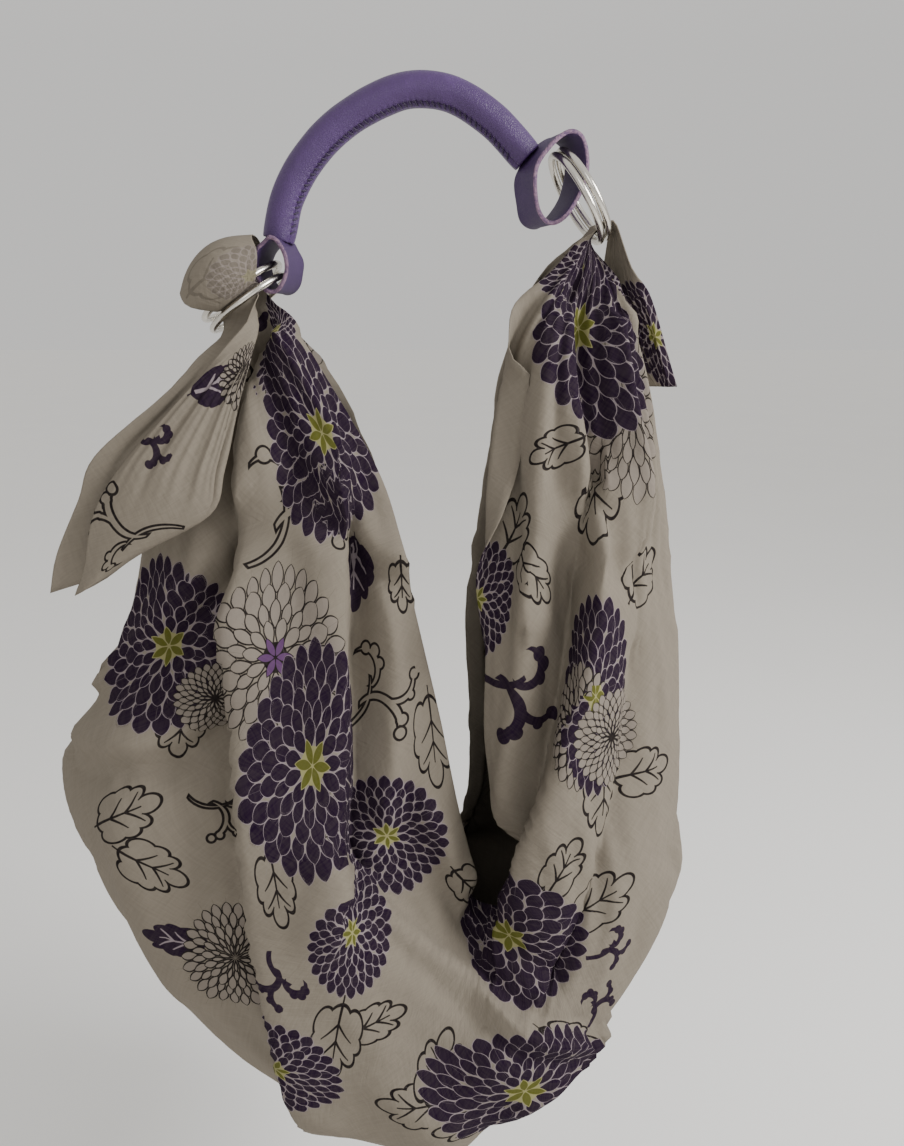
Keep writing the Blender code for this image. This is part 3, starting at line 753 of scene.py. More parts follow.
def lay_threads(mesh, grid):
    """A UV map in centimetres of cloth, whose u and v run along the two threads, both at 45 degrees to the
    line from corner to corner."""
    along, across = travelled(grid, 0)[:, grid.shape[1] // 2], travelled(grid, 1)
    keel = across[:, len(HEM_SHARES) + NEAR_FACES, None]
    s, t = np.broadcast_to(along[:, None], across.shape), across - keel
    flat = np.stack([s + t, s - t], axis=-1) / math.sqrt(2) / 10
    faces = grid_faces(*grid.shape[:2])
    mesh.uv_layers.new(name="threads").data.foreach_set("uv", flat.reshape(-1, 2)[faces.ravel()].ravel())


# ------------------------------------------------------------------ materials


EDGE_SOFTNESS = 0.12


def shade(colour, factor=1.0, lift=0.0):
    """A colour times a factor plus a lift, opaque."""
    return (*(min(c * factor + lift, 1) for c in colour), 1)


class Value:
    """A number on a shader socket: arithmetic on it adds the Math nodes of the expression."""

    def __init__(self, shader, socket):
        self.shader, self.socket = shader, socket

    def __abs__(self):
        return self.shader.math("ABSOLUTE", self)

    def floor(self):
        return self.shader.math("FLOOR", self)

    def rest(self):
        """What is left above the floor."""
        return self.shader.math("FRACT", self)


for method, operation in {
    "add": "ADD",
    "sub": "SUBTRACT",
    "mul": "MULTIPLY",
    "truediv": "DIVIDE",
    "pow": "POWER",
    "gt": "GREATER_THAN",
    "lt": "LESS_THAN",
}.items():

    def value_first(self, other, operation=operation):
        return self.shader.math(operation, self, other)

    def value_last(self, other, operation=operation):
        return self.shader.math(operation, other, self)

    setattr(Value, f"__{method}__", value_first)
    if method in ("add", "sub", "mul", "truediv"):
        setattr(Value, f"__r{method}__", value_last)


class Shader:
    """One material and the nodes that feed its Principled surface."""

    def __init__(self, name, constants):
        self.material = bpy.data.materials.new(name)
        self.material.use_nodes = True
        self.tree = self.material.node_tree
        self.surface = self.tree.nodes["Principled BSDF"]
        for socket, value in constants.items():
            self.surface.inputs[socket].default_value = value

    def node(self, kind, inputs=None, **settings):
        """A node of any kind, with the values or links of its sockets and its settings."""
        made = self.tree.nodes.new(kind)
        for name, value in settings.items():
            setattr(made, name, value)
        for name, value in (inputs or {}).items():
            self.feed(made.inputs[name], value)
        return made

    def feed(self, socket, value):
        if isinstance(value, Value):
            value = value.socket
        if isinstance(value, bpy.types.NodeSocket):
            self.tree.links.new(value, socket)
        else:
            socket.default_value = value

    def math(self, operation, *numbers):
        made = self.node("ShaderNodeMath", dict(enumerate(numbers)), operation=operation)
        return Value(self, made.outputs[0])

    def clamp(self, value):
        made = self.node("ShaderNodeMath", {0: value, 1: 0.0}, operation="ADD", use_clamp=True)
        return Value(self, made.outputs[0])

    def edge(self, value):
        """0 below zero and 1 above it, with a ramp of EDGE_SOFTNESS on each side."""
        return self.clamp(value * (0.5 / EDGE_SOFTNESS) + 0.5)

    def blend(self, share, first, second):
        """The first colour where the share is 0 and the second where it is 1."""
        made = self.node("ShaderNodeMix", {0: share, 6: first, 7: second}, data_type="RGBA")
        return made.outputs[2]

    def choose(self, share, first, second):
        """The first number where the share is 0 and the second where it is 1."""
        return first + (second - first) * share

    def noise(self, where, scale, detail, roughness):
        inputs = {"Vector": where, "Scale": scale, "Detail": detail, "Roughness": roughness}
        return Value(self, self.node("ShaderNodeTexNoise", inputs).outputs["Fac"])

    def stretched(self, where, scale):
        """The coordinates times a scale along each axis."""
        return self.node("ShaderNodeMapping", {"Vector": where, "Scale": scale}).outputs[0]

    def most(self, *numbers):
        """The largest of some numbers."""
        largest = numbers[0]
        for number in numbers[1:]:
            largest = self.math("MAXIMUM", largest, number)
        return largest

    def finish(self, colour, normal=None, roughness=None):
        """Puts what varies over the surface on the Principled sockets, and gives the material."""
        for name, value in (("Base Color", colour), ("Normal", normal), ("Roughness", roughness)):
            if value is not None:
                self.feed(self.surface.inputs[name], value)
        return self.material

    def vector(self, x, y, z=0.0):
        return self.node("ShaderNodeCombineXYZ", {0: x, 1: y, 2: z}).outputs[0]

    def parts(self, where):
        made = self.node("ShaderNodeSeparateXYZ", {0: where})
        return [Value(self, output) for output in made.outputs]

    def ellipse(self, where, lobe):
        """1 in the middle of an ellipse in the plane, 0 on its edge and less outside it."""
        inputs = {
            "Vector": where,
            "Location": (lobe.along, lobe.aside, 0),
            "Rotation": (0, 0, math.radians(lobe.turn)),
            "Scale": (lobe.length, lobe.width, 1),
        }
        own = self.node("ShaderNodeMapping", inputs, vector_type="TEXTURE").outputs[0]
        length = self.node("ShaderNodeVectorMath", {0: own}, operation="LENGTH").outputs["Value"]
        return 1 - Value(self, length)

    def disc(self, where, disc):
        """How far inside a disc in the plane a point is."""
        inputs = {0: where, 1: (disc.along, disc.aside, 0)}
        far = self.node("ShaderNodeVectorMath", inputs, operation="DISTANCE").outputs["Value"]
        return disc.radius - Value(self, far)

    def object_place(self):
        return self.node("ShaderNodeTexCoord").outputs["Object"]

    def bump(self, height, distance, strength, normal=None):
        inputs = {"Height": height, "Distance": distance, "Strength": strength}
        if normal is not None:
            inputs["Normal"] = normal
        return self.node("ShaderNodeBump", inputs).outputs[0]


# The flowers, as shares of their radius: rings of petals, a pitch apart, lie round a heart, and a star of
# long petals covers the heart of some. A ring has as many petals as the ring inside it or half as many more.
PITCH, OUTLINED_PITCH, BUD_PITCH = 0.158, 0.19, 0.145
HEART, LINE_HEART, BUD_HEART = 0.21, 0.08, 0.09
PETAL_COUNT, MORE_PETALS, MOST_PETALS = 11, 7, 8
PETAL_BASE, PETAL_TIP = -0.5, 1.16  # in pitches from the ring's inner circle
PETAL_SHARE = 0.5  # a petal's half width as a share of the way to the next petal
STAR_PETALS, STAR_LENGTH, STAR_WIDTH = 6, 0.245, 0.055


def layer_parts(shader, name):
    """A layer's coordinates along and across the motif from -1 to 1, its mask, its kind and its size."""
    stored = shader.node("ShaderNodeAttribute", attribute_name=name).outputs["Vector"]
    a, b, code = shader.parts(stored)
    return a, b, code > -0.5, code.floor(), code.rest() * SIZE_UNIT


def bloom_pattern(shader, name):
    """A chrysanthemum's masks in one layer: where it covers the cloth, its petals, its star and its kind.

    Level = (r - heart) / pitch, whose whole part is the ring and whose rest is how far out in it a point is.
    A petal's half width is its share of the way to the next petal times (1 - rise^2)^0.75, where the rise is
    -1 at its base and 1 at its tip, so that it starts under the ring inside it and ends over the ring outside
    it. Every petal's width and length vary a little by chance."""
    a, b, shown, kind, size = layer_parts(shader, name)
    outlined, line, bud = kind > 0.5, (kind > 0.5) * (kind < 1.5), kind > 2.5
    pitch = PITCH + outlined * (OUTLINED_PITCH - PITCH) + bud * (BUD_PITCH - OUTLINED_PITCH)
    heart = HEART + line * (LINE_HEART - HEART) + bud * (BUD_HEART - HEART)
    r = shader.math("SQRT", a * a + b * b) + 0.0005
    angle = shader.math("ARCTAN2", b, a)
    rings = ((1 - heart) / pitch + 0.2).floor()
    level = (r - heart) / pitch
    own_ring = level.floor()

    def petal(ring):
        """How far inside a petal of that ring a point is, in millimetres."""
        count = (ring > 0.5) * MORE_PETALS + (ring > 2.5) * MOST_PETALS + PETAL_COUNT
        turn = angle * (1 / (2 * math.pi)) * count + ring * 0.5 + 64
        spot = shader.vector(turn.floor(), ring, size)
        chance = Value(shader, shader.node("ShaderNodeTexWhiteNoise", {"Vector": spot}).outputs["Value"])
        aside = abs(turn.rest() - 0.5)
        tip = PETAL_TIP + (chance - 0.5) * 0.24
        rise = (level - ring - (tip + PETAL_BASE) / 2) / ((tip - PETAL_BASE) / 2)
        spacing = r * size * (2 * math.pi) / count
        allowed = (ring > -0.5) * (ring < rings - 0.5)
        full = shader.most(1 - rise * rise, 0.0) ** 0.75
        return (full * (PETAL_SHARE + (chance - 0.5) * 0.06) - aside) * spacing * allowed + (allowed - 1) * 5

    earlier, own, later = petal(own_ring - 1), petal(own_ring), petal(own_ring + 1)
    gap = 0.52 + outlined * 0.4 - bud * 0.3
    core = shader.edge(later - gap)
    core = shader.choose(shader.edge(own), core, shader.edge(own - gap))
    core = shader.choose(shader.edge(earlier), core, shader.edge(earlier - gap))
    # The star's petals: half width x (1 - ((r / length - 0.52) / 0.5)^2), six to the turn.
    one_petal = 2 * math.pi / STAR_PETALS
    star_aside = abs((angle * (1 / one_petal) + 8).rest() - 0.5) * r * one_petal
    star_rise = r * (2 / STAR_LENGTH) - 1.04
    star = ((1 - star_rise * star_rise) * STAR_WIDTH - star_aside) * size
    disc = shader.edge((HEART * 0.8 - r) * size) * (1 - line)
    petals = shader.edge(shader.most(earlier, own, later))
    cover = shader.most(petals, disc, shader.edge(star) * (1 - line)) * shown
    return cover, core, shader.edge(star), shader.edge(star - 0.6), disc, kind


# A leaf's lobes as ellipses, as shares of its half-length: the blade, the tip and one side's two side lobes.
Lobe = namedtuple("Lobe", "along aside length width turn")
LEAF_LOBES = rows_of(
    Lobe,
    (-0.14, 0.0, 0.74, 0.40, 0),
    (0.66, 0.0, 0.35, 0.26, 0),
    (0.33, 0.34, 0.34, 0.20, 24),
    (0.02, 0.46, 0.33, 0.21, 26),
    (-0.38, 0.42, 0.40, 0.24, 14),
)
VEIN_STEP, VEIN_REACH = 0.44, 0.42


def leaf_pattern(shader, name):
    """A leaf's masks in one layer: where it covers the cloth, its veins, its outline and its kind.

    The leaf is all that lies in its ellipses, and its outline is where the deepest ellipse is almost 0. The
    midrib tapers along the middle, and side veins run where a - 1.3 |b| + 0.7 b^2 is half a step more than a
    whole number of steps."""
    a, b, shown, kind, size = layer_parts(shader, name)
    aside = abs(b)
    flat = shader.vector(a, aside)
    depths = [shader.ellipse(flat, lobe) * math.sqrt(lobe.length * lobe.width) for lobe in LEAF_LOBES]
    inward = shader.most(*depths) * size
    along = a - aside * 1.3 + aside * aside * 0.7
    from_vein = abs((along / VEIN_STEP + 20.35).rest() - 0.5) * (VEIN_STEP * 0.62) * size
    reach = (aside < VEIN_REACH) * (along > -0.72) * (along < 0.42)
    veins = shader.edge(0.75 - aside * (0.5 / VEIN_REACH) - from_vein) * reach
    rib = shader.edge(0.6 - a * 0.35 - aside * size) * (a < 0.5)
    marks = shader.most(veins, rib) * (inward > 0.8)
    stem = shader.edge(0.6 - aside * size) * (a < -0.8) * (a > -1.1)
    outline = shader.most(shader.edge(0.78 - abs(inward)), stem)
    cover = shader.most(shader.edge(inward + 0.78), stem) * shown
    return cover, marks, outline, kind


# A forked tendril's end, as shares of its half-length: hooks, each inside one disc and outside another and
# clipped by a third, and knobs along their backs.
Disc = namedtuple("Disc", "along aside radius")
Hook = namedtuple("Hook", "outer inner clip")
HOOKS = (
    Hook(Disc(-0.30, 0.92, 0.92), Disc(-0.27, 1.06, 0.96), Disc(-0.35, 0.1, 0.68)),
    Hook(Disc(0.36, 0.46, 0.42), Disc(0.29, 0.52, 0.36), Disc(0.62, 0.34, 0.52)),
    Hook(Disc(-0.36, -0.36, 0.60), Disc(-0.47, -0.35, 0.53), Disc(0.02, -0.28, 0.58)),
    Hook(Disc(0.56, -0.34, 0.44), Disc(0.62, -0.24, 0.42), Disc(0.48, -0.66, 0.42)),
)
KNOBS = rows_of(
    Disc,
    (0.70, 0.66, 0.13),
    (0.79, 0.42, 0.14),
    (0.66, 0.18, 0.12),
    (-0.02, -0.82, 0.13),
    (-0.26, -0.92, 0.13),
    (0.46, -0.76, 0.10),
    (0.84, -0.66, 0.12),
)


def scroll_pattern(shader, name):
    """A tendril's mask in one layer and its kind: all that lies in its hooks or its knobs, or its outline."""
    a, b, shown, kind, size = layer_parts(shader, name)
    flat = shader.vector(a, b)
    depths = []
    for hook in HOOKS:
        outer, inner, clip = (shader.disc(flat, disc) for disc in hook)
        depths.append(shader.math("MINIMUM", shader.math("MINIMUM", outer, clip), 0 - inner))
    inward = shader.most(*depths, *(shader.disc(flat, knob) for knob in KNOBS)) * size
    filled = kind > 0.5
    return shader.choose(filled, shader.edge(0.7 - abs(inward)), shader.edge(inward + 0.7)) * shown, kind


def cotton(name, cloth, reverse):
    """Plain-woven cotton with its print, which is faint on the reverse."""
    settings = bpy.context.scene.wrap_cloth
    shader = Shader(name, {"Roughness": 0.92, "Specular IOR Level": 0.06})
    threads = shader.node("ShaderNodeUVMap", uv_map="threads").outputs[0]
    weave = settings.thread * 100  # centimetres
    warp = shader.noise(shader.stretched(threads, (1 / weave, 0.06 / weave, 1)), 0.5, 2, 0.6)
    weft = shader.noise(shader.stretched(threads, (0.06 / weave, 1 / weave, 1)), 0.5, 2, 0.6)
    cloud = shader.noise(threads, 0.22, 3, 0.55)
    weft_share = weft * 0.5 + warp * 0.5
    base = shader.blend(shader.clamp((weft_share - 0.5) * 2.2 + 0.5), shade(cloth, 0.86), shade(cloth, 1.08))
    base = shader.blend(shader.clamp((cloud - 0.5) * 0.5 + 0.12), base, shade(cloth, 0.8))
    ink, petal = shade(settings.line_colour), shade(settings.petal_colour)
    pale, petal_line = shade(settings.pale_colour), shade(settings.faded_colour)
    olive, yellow = shade(settings.star_colour), (0.25, 0.235, 0.105, 1)
    lilac_heart = (0.085, 0.036, 0.105, 1)
    printed = base
    mask, kind = scroll_pattern(shader, "scroll_1")
    printed = shader.blend(mask, printed, shader.blend(kind > 0.5, ink, petal))
    for index in range(STAMP_LAYERS["leaf"], 0, -1):
        cover, marks, border, kind = leaf_pattern(shader, f"leaf_{index}")
        dark_leaf = kind > 0.5
        fill = shader.blend(dark_leaf, base, petal)
        fill = shader.blend(marks, fill, shader.blend(dark_leaf, ink, pale))
        fill = shader.blend(border, fill, shader.blend(dark_leaf, ink, petal))
        printed = shader.blend(cover, printed, fill)
    for index in range(STAMP_LAYERS["bloom"], 0, -1):
        cover, core, star, star_core, disc, kind = bloom_pattern(shader, f"bloom_{index}")
        outline = kind > 0.5
        lilac = (kind > 1.5) * (kind < 2.5)
        starred = shader.clamp(1 - outline + lilac)
        fill = shader.blend(core, shader.blend(outline, pale, ink), shader.blend(outline, petal, petal_line))
        fill = shader.blend(disc * starred, fill, shader.blend(lilac, yellow, ink))
        star_fill = shader.blend(lilac, olive, lilac_heart)
        heart = shader.blend(star_core, shader.blend(lilac, yellow, ink), star_fill)
        fill = shader.blend(star * starred, fill, heart)
        printed = shader.blend(cover, printed, fill)
    colour = shader.blend(0.3, base, printed) if reverse else printed
    grain = shader.clamp((weft_share - 0.5) * 3 + 0.5)
    crumple = shader.bump(shader.noise(threads, 0.55, 3, 0.6), 0.0022, 0.5)
    weave_bump = shader.bump(weft_share, 0.0005, 0.55, crumple)
    return shader.finish(shader.blend(grain * 0.1, colour, shade(cloth)), weave_bump)


def leather(name, colour, dull):
    """Dyed leather: a cell grain with fine creases, and a colour that wears lighter on its high spots.

    Its roughness is 0.2 more where dull is 1."""
    settings = bpy.context.scene.wrap_leather
    shader = Shader(name, {"Specular IOR Level": 0.5})
    place = shader.object_place()
    inputs = {"Vector": place, "Scale": 1 / settings.grain}
    cells = shader.node("ShaderNodeTexVoronoi", inputs, feature="DISTANCE_TO_EDGE")
    grain = shader.clamp(Value(shader, cells.outputs["Distance"]) * 6)
    cloud = shader.noise(place, 60, 4, 0.6)
    tone = shader.blend(shader.clamp((cloud - 0.35) * 1.6), shade(colour, 0.62), shade(colour))
    tone = shader.blend(shader.clamp((cloud - 0.6) * 1.5), tone, shade(colour, 1.35, 0.01))
    tone = shader.blend(grain, shade(colour, 0.7), tone)
    creases = shader.bump(shader.noise(place, 260, 4, 0.65), 0.0006, 0.35)
    rough = 0.5 - grain * 0.1 + (cloud - 0.5) * 0.15 + dull * 0.2
    return shader.finish(tone, shader.bump(grain, 0.0003, 0.35, creases), rough)


def raw_edge(name):
    """A cut leather edge: fibres, mottled between purple and a dusty pink."""
    shader = Shader(name, {"Roughness": 0.9})
    place = shader.object_place()
    fibre = shader.noise(place, 700, 4, 0.7)
    tone = shader.blend(shader.clamp((fibre - 0.35) * 3), (0.09, 0.05, 0.12, 1), (0.3, 0.19, 0.25, 1))
    return shader.finish(tone, shader.bump(fibre, 0.0008, 0.7))


def steel(name):
    """Nickel-plated wire: bright, with fine drawn scratches and a dull bloom here and there."""
    settings = bpy.context.scene.wrap_rings
    shader = Shader(name, {"Metallic": 1.0})
    place = shader.object_place()
    smear = shader.noise(place, 90, 3, 0.6)
    scratch = shader.noise(shader.stretched(place, (1, 1, 6)), 900, 3, 0.7)
    tone = shader.blend(shader.clamp((smear - 0.45) * 2), (0.66, 0.63, 0.57, 1), (0.5, 0.47, 0.42, 1))
    return shader.finish(tone, shader.bump(scratch, 0.0001, 0.3), settings.roughness + (smear - 0.5) * 0.2)


def thread(name):
    """Waxed sewing thread with its twist."""
    shader = Shader(name, {"Roughness": 0.6})
    place = shader.object_place()
    twist = shader.noise(shader.stretched(place, (1, 1, 3)), 1500, 2, 0.5)
    tone = shader.blend(twist, (0.012, 0.006, 0.02, 1), (0.05, 0.03, 0.075, 1))
    return shader.finish(tone, shader.bump(twist, 0.0004, 0.6))


def matte(name, colour):
    """A painted surface with a faint mottle."""
    shader = Shader(name, {"Roughness": 0.85})
    cloud = shader.noise(shader.object_place(), 2.5, 3, 0.5)
    return shader.finish(shader.blend(cloud, shade(colour, 0.98), shade(colour, 1.02)))


def light_room(tree, strength):
    """The room's light: even and pale near the horizon, where it meets the floor, and brighter overhead."""
    place = tree.nodes.new("ShaderNodeTexCoord")
    height = tree.nodes.new("ShaderNodeSeparateXYZ")
    ramp = tree.nodes.new("ShaderNodeValToRGB")
    ramp.color_ramp.elements[0].position, ramp.color_ramp.elements[0].color = HORIZON
    ramp.color_ramp.elements[1].position, ramp.color_ramp.elements[1].color = OVERHEAD
    tree.links.new(place.outputs["Generated"], height.inputs[0])
    tree.links.new(height.outputs[2], ramp.inputs[0])
    background = tree.nodes["Background"]
    tree.links.new(ramp.outputs[0], background.inputs["Color"])
    background.inputs["Strength"].default_value = strength


# ------------------------------------------------------------------ the grip, tabs and rings


def grip_frame(count):
    """The grip's centre line at equal steps, with the ways outward from the arch and to the front at each."""
    spots = np.array(GRIP_LINE, float)
    chord = np.linalg.norm(np.diff(spots, axis=0), axis=1)
    fine = through(spots, chord, [40] * len(chord))
    length = travelled(fine, 0)
    at = np.linspace(0, length[-1], count)
    x, z = np.interp(at, length, fine[:, 0]), np.interp(at, length, fine[:, 1])
    line = np.stack([x, np.zeros(count), z], axis=1)
    run = unit(np.gradient(line, axis=0))
    outward = np.stack([-run[:, 2], np.zeros(count), run[:, 0]], axis=1)
    front = np.tile([0.0, -1.0, 0.0], (count, 1))
    return at, line, outward, front


def grip_mesh():
    """The rolled leather: a tube whose radius dips by 1.1 mm along a seam on the inner side of the arch and
    puffs up by 0.35 mm between the stitches beside it, and is drawn in over its last 7 mm."""
    at, line, outward, front = grip_frame(GRIP_ROWS)
    turn = full_turn(GRIP_SIDES)[None, :]
    from_seam = np.abs((turn - SEAM_TURN + math.pi) % (2 * math.pi) - math.pi)
    puff = 0.5 + 0.5 * np.cos(2 * math.pi * at / STITCH_STEP)[:, None]
    radius = GRIP_RADIUS - SEAM_DEPTH * np.exp(-((from_seam / 0.1) ** 2))
    radius = radius + SEAM_PUFF * puff * np.exp(-(((from_seam - 0.26) / 0.12) ** 2))
    radius = radius + 0.12 * even_noise(at[:, None] / 9 + 0 * turn, 3 * np.cos(turn) + 4 + 0 * at[:, None], 8)
    end = np.minimum(at, at[-1] - at)[:, None]
    rounding = np.sqrt(np.clip(1 - (1 - np.clip(end / GRIP_END_LENGTH, 0, 1)) ** 2, 0, 1))
    radius = radius * (GRIP_END_SHARE + (1 - GRIP_END_SHARE) * rounding)
    points = line[:, None] + radius[..., None] * around(turn, outward[:, None], front[:, None])
    rows, columns = points.shape[:2]
    faces = grid_faces(rows, columns, round_columns=True)
    mesh_points = points.reshape(-1, 3)
    # Each end has a flat ring of quads, down to a pinhole of 2 % of its radius.
    caps = []
    for row in (0, rows - 1):
        middle = points[row].mean(axis=0)
        ring = middle + (points[row] - middle) * PINHOLE
        start = len(mesh_points)
        mesh_points = np.vstack([mesh_points, ring])
        here, after = np.arange(columns), (np.arange(columns) + 1) % columns
        band = np.stack([row * columns + here, start + here, start + after, row * columns + after], axis=1)
        caps.append(band if row == 0 else band[:, ::-1])
    return new_mesh("rolled_grip", mesh_points, np.vstack([faces] + caps))


def stitches_mesh():
    """Whip stitches across the seam: each is a bent rod of six sides that leaves one side of the seam, rises
    over it and enters the other side one step further on."""
    at, line, outward, front = grip_frame(600)
    centres = np.arange(5, at[-1] - 4, STITCH_STEP)
    t = np.linspace(-1, 1, STITCH_POINTS)[None, :]
    s = centres[:, None] + t * STITCH_STEP * STITCH_REACH
    turn = SEAM_TURN + t * STITCH_SPREAD
    radius = GRIP_RADIUS - 0.55 + 0.85 * (1 - t**2) - 0.6 * np.abs(t) ** 6

    def spread(values):
        return np.stack([np.interp(s, at, values[:, axis]) for axis in range(3)], axis=-1)

    middle, out, ahead = spread(line), spread(outward), spread(front)
    path = middle + radius[..., None] * around(turn, out, ahead)
    direction = unit(np.gradient(path, axis=1))
    away = unit(path - middle)
    aside = unit(np.cross(direction, away))
    away = np.cross(aside, direction)
    thick = STITCH_RADIUS * np.sqrt(np.clip(1 - np.abs(t) ** 6, 0.02, 1))[..., None, None]
    round_it = around(full_turn(STITCH_SIDES), aside[:, :, None], away[:, :, None])
    rods = path[:, :, None] + thick * round_it
    count, rows, columns = rods.shape[:3]
    one = grid_faces(rows, columns, round_columns=True)
    faces = (one[None] + (np.arange(count) * rows * columns)[:, None, None]).reshape(-1, 4)
    return new_mesh("whip_stitches", rods.reshape(-1, 3), faces)


def tab_mesh(name, tab):
    """A strap that follows a closed line round the rings: its two long edges flare by 0.5 mm and waver."""
    wrapped = np.array(tab.line[-1:] + tab.line + tab.line[:2], float)
    spans = len(wrapped) - 1
    curve = through(wrapped, [1] * spans, [TAB_STEPS] * spans)[TAB_STEPS : -TAB_STEPS - 1]
    middle = curve.mean(axis=0)
    depth = np.linspace(-1, 1, TAB_ROWS)[:, None]
    ahead = np.gradient(np.vstack([curve[-1:], curve, curve[:1]]), axis=0)[1:-1]
    outward = unit(np.stack([-ahead[:, 1], ahead[:, 0]], axis=1))
    outward = outward * np.sign((outward * (curve - middle)).sum())
    waver = 0.35 * np.sin(np.arange(len(curve)) * 0.35)[None, :]
    flare = (0.5 * np.abs(depth) ** 4 + waver * np.abs(depth) ** 3 * 0.6)[..., None]
    flat = curve[None] - middle + outward[None] * flare
    x, z = flat[..., 0], flat[..., 1]
    y = np.broadcast_to(depth * (tab.length / 2) + waver * 1.2 * depth, x.shape)
    c, s = math.cos(math.radians(tab.turn)), math.sin(math.radians(tab.turn))
    points = np.stack([middle[0] + x * c - y * s, tab.middle_y + x * s + y * c, middle[1] + z], axis=-1)
    faces = grid_faces(TAB_ROWS, len(curve), round_columns=True)
    return new_mesh(name, points.reshape(-1, 3), faces)


def ring_mesh(name, rings, step):
    """A torus round the rise of its pair: ring radius times one circle plus wire radius times the other."""
    centre, rise = np.array(rings.centre, float), unit(np.array(rings.rise, float))
    first = unit(np.cross(rise, [0.0, 1.0, 0.05]))
    second = np.cross(rise, first)
    spoke = around(full_turn(RING_SIDES)[:, None], first, second)
    small = full_turn(WIRE_SIDES)[None, :, None]
    points = centre + step * rise + spoke * (RING_RADIUS + WIRE_RADIUS * np.cos(small))
    points = points + rise * WIRE_RADIUS * np.sin(small)
    return new_mesh(name, points.reshape(-1, 3), grid_faces(RING_SIDES, WIRE_SIDES, True, True))


# ------------------------------------------------------------------ settings, operators and panel


def colour_setting(name, note, default):
    """A colour that a user may change."""
    return FloatVectorProperty(name=name, description=note, subtype="COLOR", default=default, min=0, max=1)


def length_setting(name, note, default, low, high):
    """A short length in metres."""
    limits = {"min": low, "max": high}
    return FloatProperty(name=name, description=note, default=default, unit="LENGTH", precision=5, **limits)


def share_setting(name, note, default, high):
    """A share from 0 up."""
    return FloatProperty(name=name, description=note, default=default, min=0, max=high, subtype="FACTOR")


def power_setting(name, note, default):
    """A light's power."""
    return FloatProperty(name=name, description=note, default=default, min=0, unit="POWER")


class WRAP_PG_cloth(bpy.types.PropertyGroup):
    colour: colour_setting("Cloth colour", "Colour of the undyed cotton", (0.205, 0.178, 0.142))
    petal_colour: colour_setting("Petal colour", "Colour of the filled petals", (0.0115, 0.004, 0.0165))
    line_colour: colour_setting("Line colour", "Colour of the drawn outlines", (0.006, 0.004, 0.005))
    faded_colour: colour_setting(
        "Faded petal colour", "Colour inside the outlined petals", (0.2, 0.172, 0.145)
    )
    pale_colour: colour_setting("Gap colour", "Colour of the gaps between filled petals", (0.23, 0.19, 0.205))
    star_colour: colour_setting(
        "Star colour", "Colour of the star in a flower's heart", (0.085, 0.088, 0.014)
    )
    thread: length_setting("Thread", "Distance from one thread to the next", 0.0007, 0.0002, 0.003)
    thickness: length_setting("Thickness", "Thickness of the cloth", 0.0005, 0.0002, 0.002)
    folds: share_setting("Folds", "Strength of the folds", 1.0, 1.5)


class WRAP_PG_leather(bpy.types.PropertyGroup):
    colour: colour_setting("Leather colour", "Colour of the dyed leather", (0.082, 0.034, 0.152))
    grain: length_setting("Grain", "Size of a cell of the leather's grain", 0.0009, 0.0002, 0.005)


class WRAP_PG_rings(bpy.types.PropertyGroup):
    roughness: share_setting("Roughness", "How dull the plated wire is", 0.22, 1)


class WRAP_PG_stage(bpy.types.PropertyGroup):
    floor: FloatProperty(name="Floor", description="Height of the floor", default=-0.72, unit="LENGTH")
    key: power_setting("Key light", "Power of the main light", 30.0)
    fill: power_setting("Fill light", "Power of the weaker light", 2.4)
    sky: FloatProperty(name="Room light", description="Brightness of the room", default=1.0, min=0)


class WRAP_OT_cloth(bpy.types.Operator):
    """Build the printed cotton square, hung by two corners from its rings"""

    bl_idname = "wrap.cloth"
    bl_label = "Cloth"

    def execute(self, context):
        settings = context.scene.wrap_cloth
        grid = cloth_grid(settings.folds)
        mesh = new_mesh("printed_cloth", grid.reshape(-1, 3), grid_faces(*grid.shape[:2]))
        lay_threads(mesh, grid)
        lay_print(mesh, grid)
        cloth = tuple(settings.colour)
        face, back = cotton("Printed cotton", cloth, False), cotton("Printed cotton, reverse", cloth, True)
        piece = new_piece("printed_cloth", mesh, [face, back])
        thicken(piece, settings.thickness / MM, inner=1)
        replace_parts(piece, "cloth")
        # The area, in square metres, isn't the cut's: the whole square has 1.08, and this cloth has 0.42,
        # without the square's near and far corners.
        return {"FINISHED"}


class WRAP_OT_grip(bpy.types.Operator):
    """Build the rolled leather grip with its whip-stitched seam"""

    bl_idname = "wrap.grip"
    bl_label = "Grip"

    def execute(self, context):
        hide = leather("Purple leather", tuple(context.scene.wrap_leather.colour), 0.0)
        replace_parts(new_piece("rolled_grip", grip_mesh(), [hide]), "grip")
        new_piece("whip_stitches", stitches_mesh(), [thread("Dark thread")])
        return {"FINISHED"}


class WRAP_OT_tabs(bpy.types.Operator):
    """Build the two leather loops that join the grip to its rings"""

    bl_idname = "wrap.tabs"
    bl_label = "Leather loops"

    def execute(self, context):
        # Painted shade: the loops get the grip's leather with its colour times 0.72, a darker copy that
        # stands in for the shade inside the loops.
        colour = tuple(c * 0.72 for c in context.scene.wrap_leather.colour)
        hide, cut = leather("Purple leather, painted shade", colour, 1.0), raw_edge("Cut leather")
        for name, node, tab in (("loop_left", "left_tab", LEFT_TAB), ("loop_right", "right_tab", RIGHT_TAB)):
            piece = new_piece(name, tab_mesh(name, tab), [hide, cut])
            thicken(piece, LEATHER_THICKNESS, rim=1)
            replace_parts(piece, node)
        return {"FINISHED"}


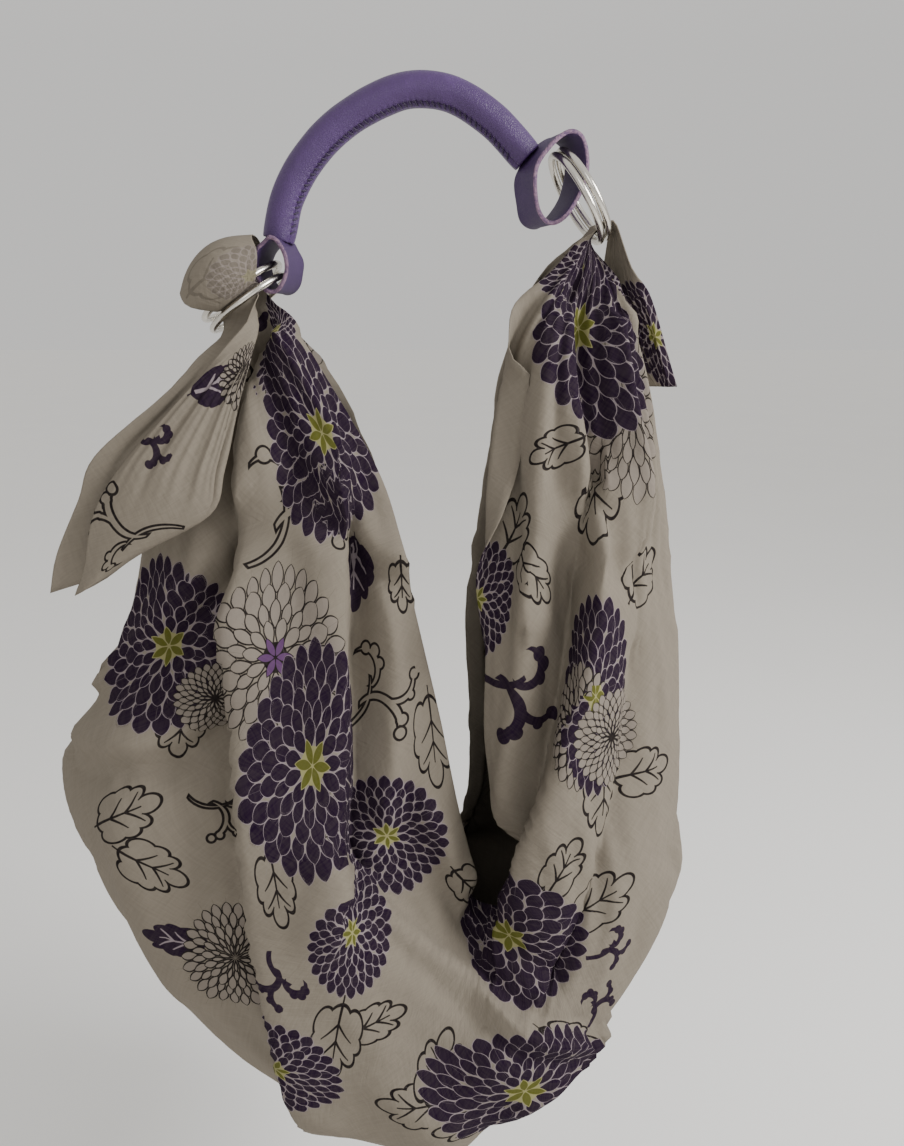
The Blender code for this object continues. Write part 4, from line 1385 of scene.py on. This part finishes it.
class WRAP_OT_rings(bpy.types.Operator):
    """Build the two pairs of plated rings"""

    bl_idname = "wrap.rings"
    bl_label = "Rings"

    def execute(self, context):
        wire = steel("Nickel-plated wire")
        pairs = ("left", LEFT_RINGS, LEFT_RING_STEP), ("right", RIGHT_RINGS, RIGHT_RING_STEP)
        for side, rings, step in pairs:
            for level, rise in (("lower", 0.0), ("upper", step)):
                name = f"ring_{side}_{level}"
                piece = new_piece(name, ring_mesh(name, rings, rise), [wire])
                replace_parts(piece, f"{side}_ring_{level}")
        return {"FINISHED"}


class WRAP_OT_stage(bpy.types.Operator):
    """Set up the floor, the lights and the camera"""

    bl_idname = "wrap.stage"
    bl_label = "Stage"

    def execute(self, context):
        settings = context.scene.wrap_stage
        corners = np.array([(-1, -1, 0), (1, -1, 0), (1, 1, 0), (-1, 1, 0)]) * FLOOR_REACH
        mesh = new_mesh("floor", corners + [0, 0, settings.floor / MM], [[0, 1, 2, 3]])
        floor = new_object("floor", mesh)
        mesh.materials.append(matte("Pale floor", (0.86, 0.85, 0.83)))
        world = bpy.data.worlds.new("Room")
        context.scene.world = world
        world.use_nodes = True
        light_room(world.node_tree, settings.sky)
        for name, spot, power, size in (
            ("key", (1.35, -0.5, 0.5), settings.key, 0.6),
            ("fill", (-0.1, -1.25, 0.35), settings.fill, 0.6),
        ):
            light = bpy.data.lights.new(name, "AREA")
            light.energy, light.size = power, size
            lamp = new_object(name, light)
            lamp.location = spot
            lamp.rotation_euler = (Vector(AIM) - Vector(spot)).to_track_quat("-Z", "Y").to_euler()
        lens = bpy.data.cameras.new("camera")
        lens.sensor_width = SENSOR
        lens.lens = FOCAL / FRAME_HEIGHT * SENSOR
        camera = new_object("camera", lens)
        camera.location = CAMERA_SPOT
        camera.rotation_euler = (math.pi / 2 - CAMERA_PITCH, 0, 0)
        context.scene.camera = camera
        return {"FINISHED"}


class WRAP_PT_panel(bpy.types.Panel):
    """The wrap's pieces and their settings"""

    bl_idname = "WRAP_PT_panel"
    bl_label = "Furoshiki wrap"
    bl_space_type = "VIEW_3D"
    bl_region_type = "UI"
    bl_category = "Wrap"

    def draw(self, context):
        for operator, group in PIECES:
            box = self.layout.box()
            box.operator(operator.bl_idname)
            if group:
                settings = getattr(context.scene, group)
                for name in settings.bl_rna.properties.keys():
                    if name not in ("rna_type", "name"):
                        box.prop(settings, name)


PIECES = (
    (WRAP_OT_stage, "wrap_stage"),
    (WRAP_OT_rings, "wrap_rings"),
    (WRAP_OT_grip, "wrap_leather"),
    (WRAP_OT_tabs, None),
    (WRAP_OT_cloth, "wrap_cloth"),
)
GROUPS = {
    "wrap_cloth": WRAP_PG_cloth,
    "wrap_leather": WRAP_PG_leather,
    "wrap_rings": WRAP_PG_rings,
    "wrap_stage": WRAP_PG_stage,
}


def register():
    for name, group in GROUPS.items():
        bpy.utils.register_class(group)
        setattr(bpy.types.Scene, name, PointerProperty(type=group))
    for operator, _ in PIECES:
        bpy.utils.register_class(operator)
    bpy.utils.register_class(WRAP_PT_panel)


def unregister():
    bpy.utils.unregister_class(WRAP_PT_panel)
    for operator, _ in reversed(PIECES):
        bpy.utils.unregister_class(operator)
    for name, group in GROUPS.items():
        delattr(bpy.types.Scene, name)
        bpy.utils.unregister_class(group)


def main():
    register()
    bpy.ops.wrap.stage()
    bpy.ops.wrap.rings()
    bpy.ops.wrap.grip()
    bpy.ops.wrap.tabs()
    bpy.ops.wrap.cloth()


if __name__ == "__main__":
    main()
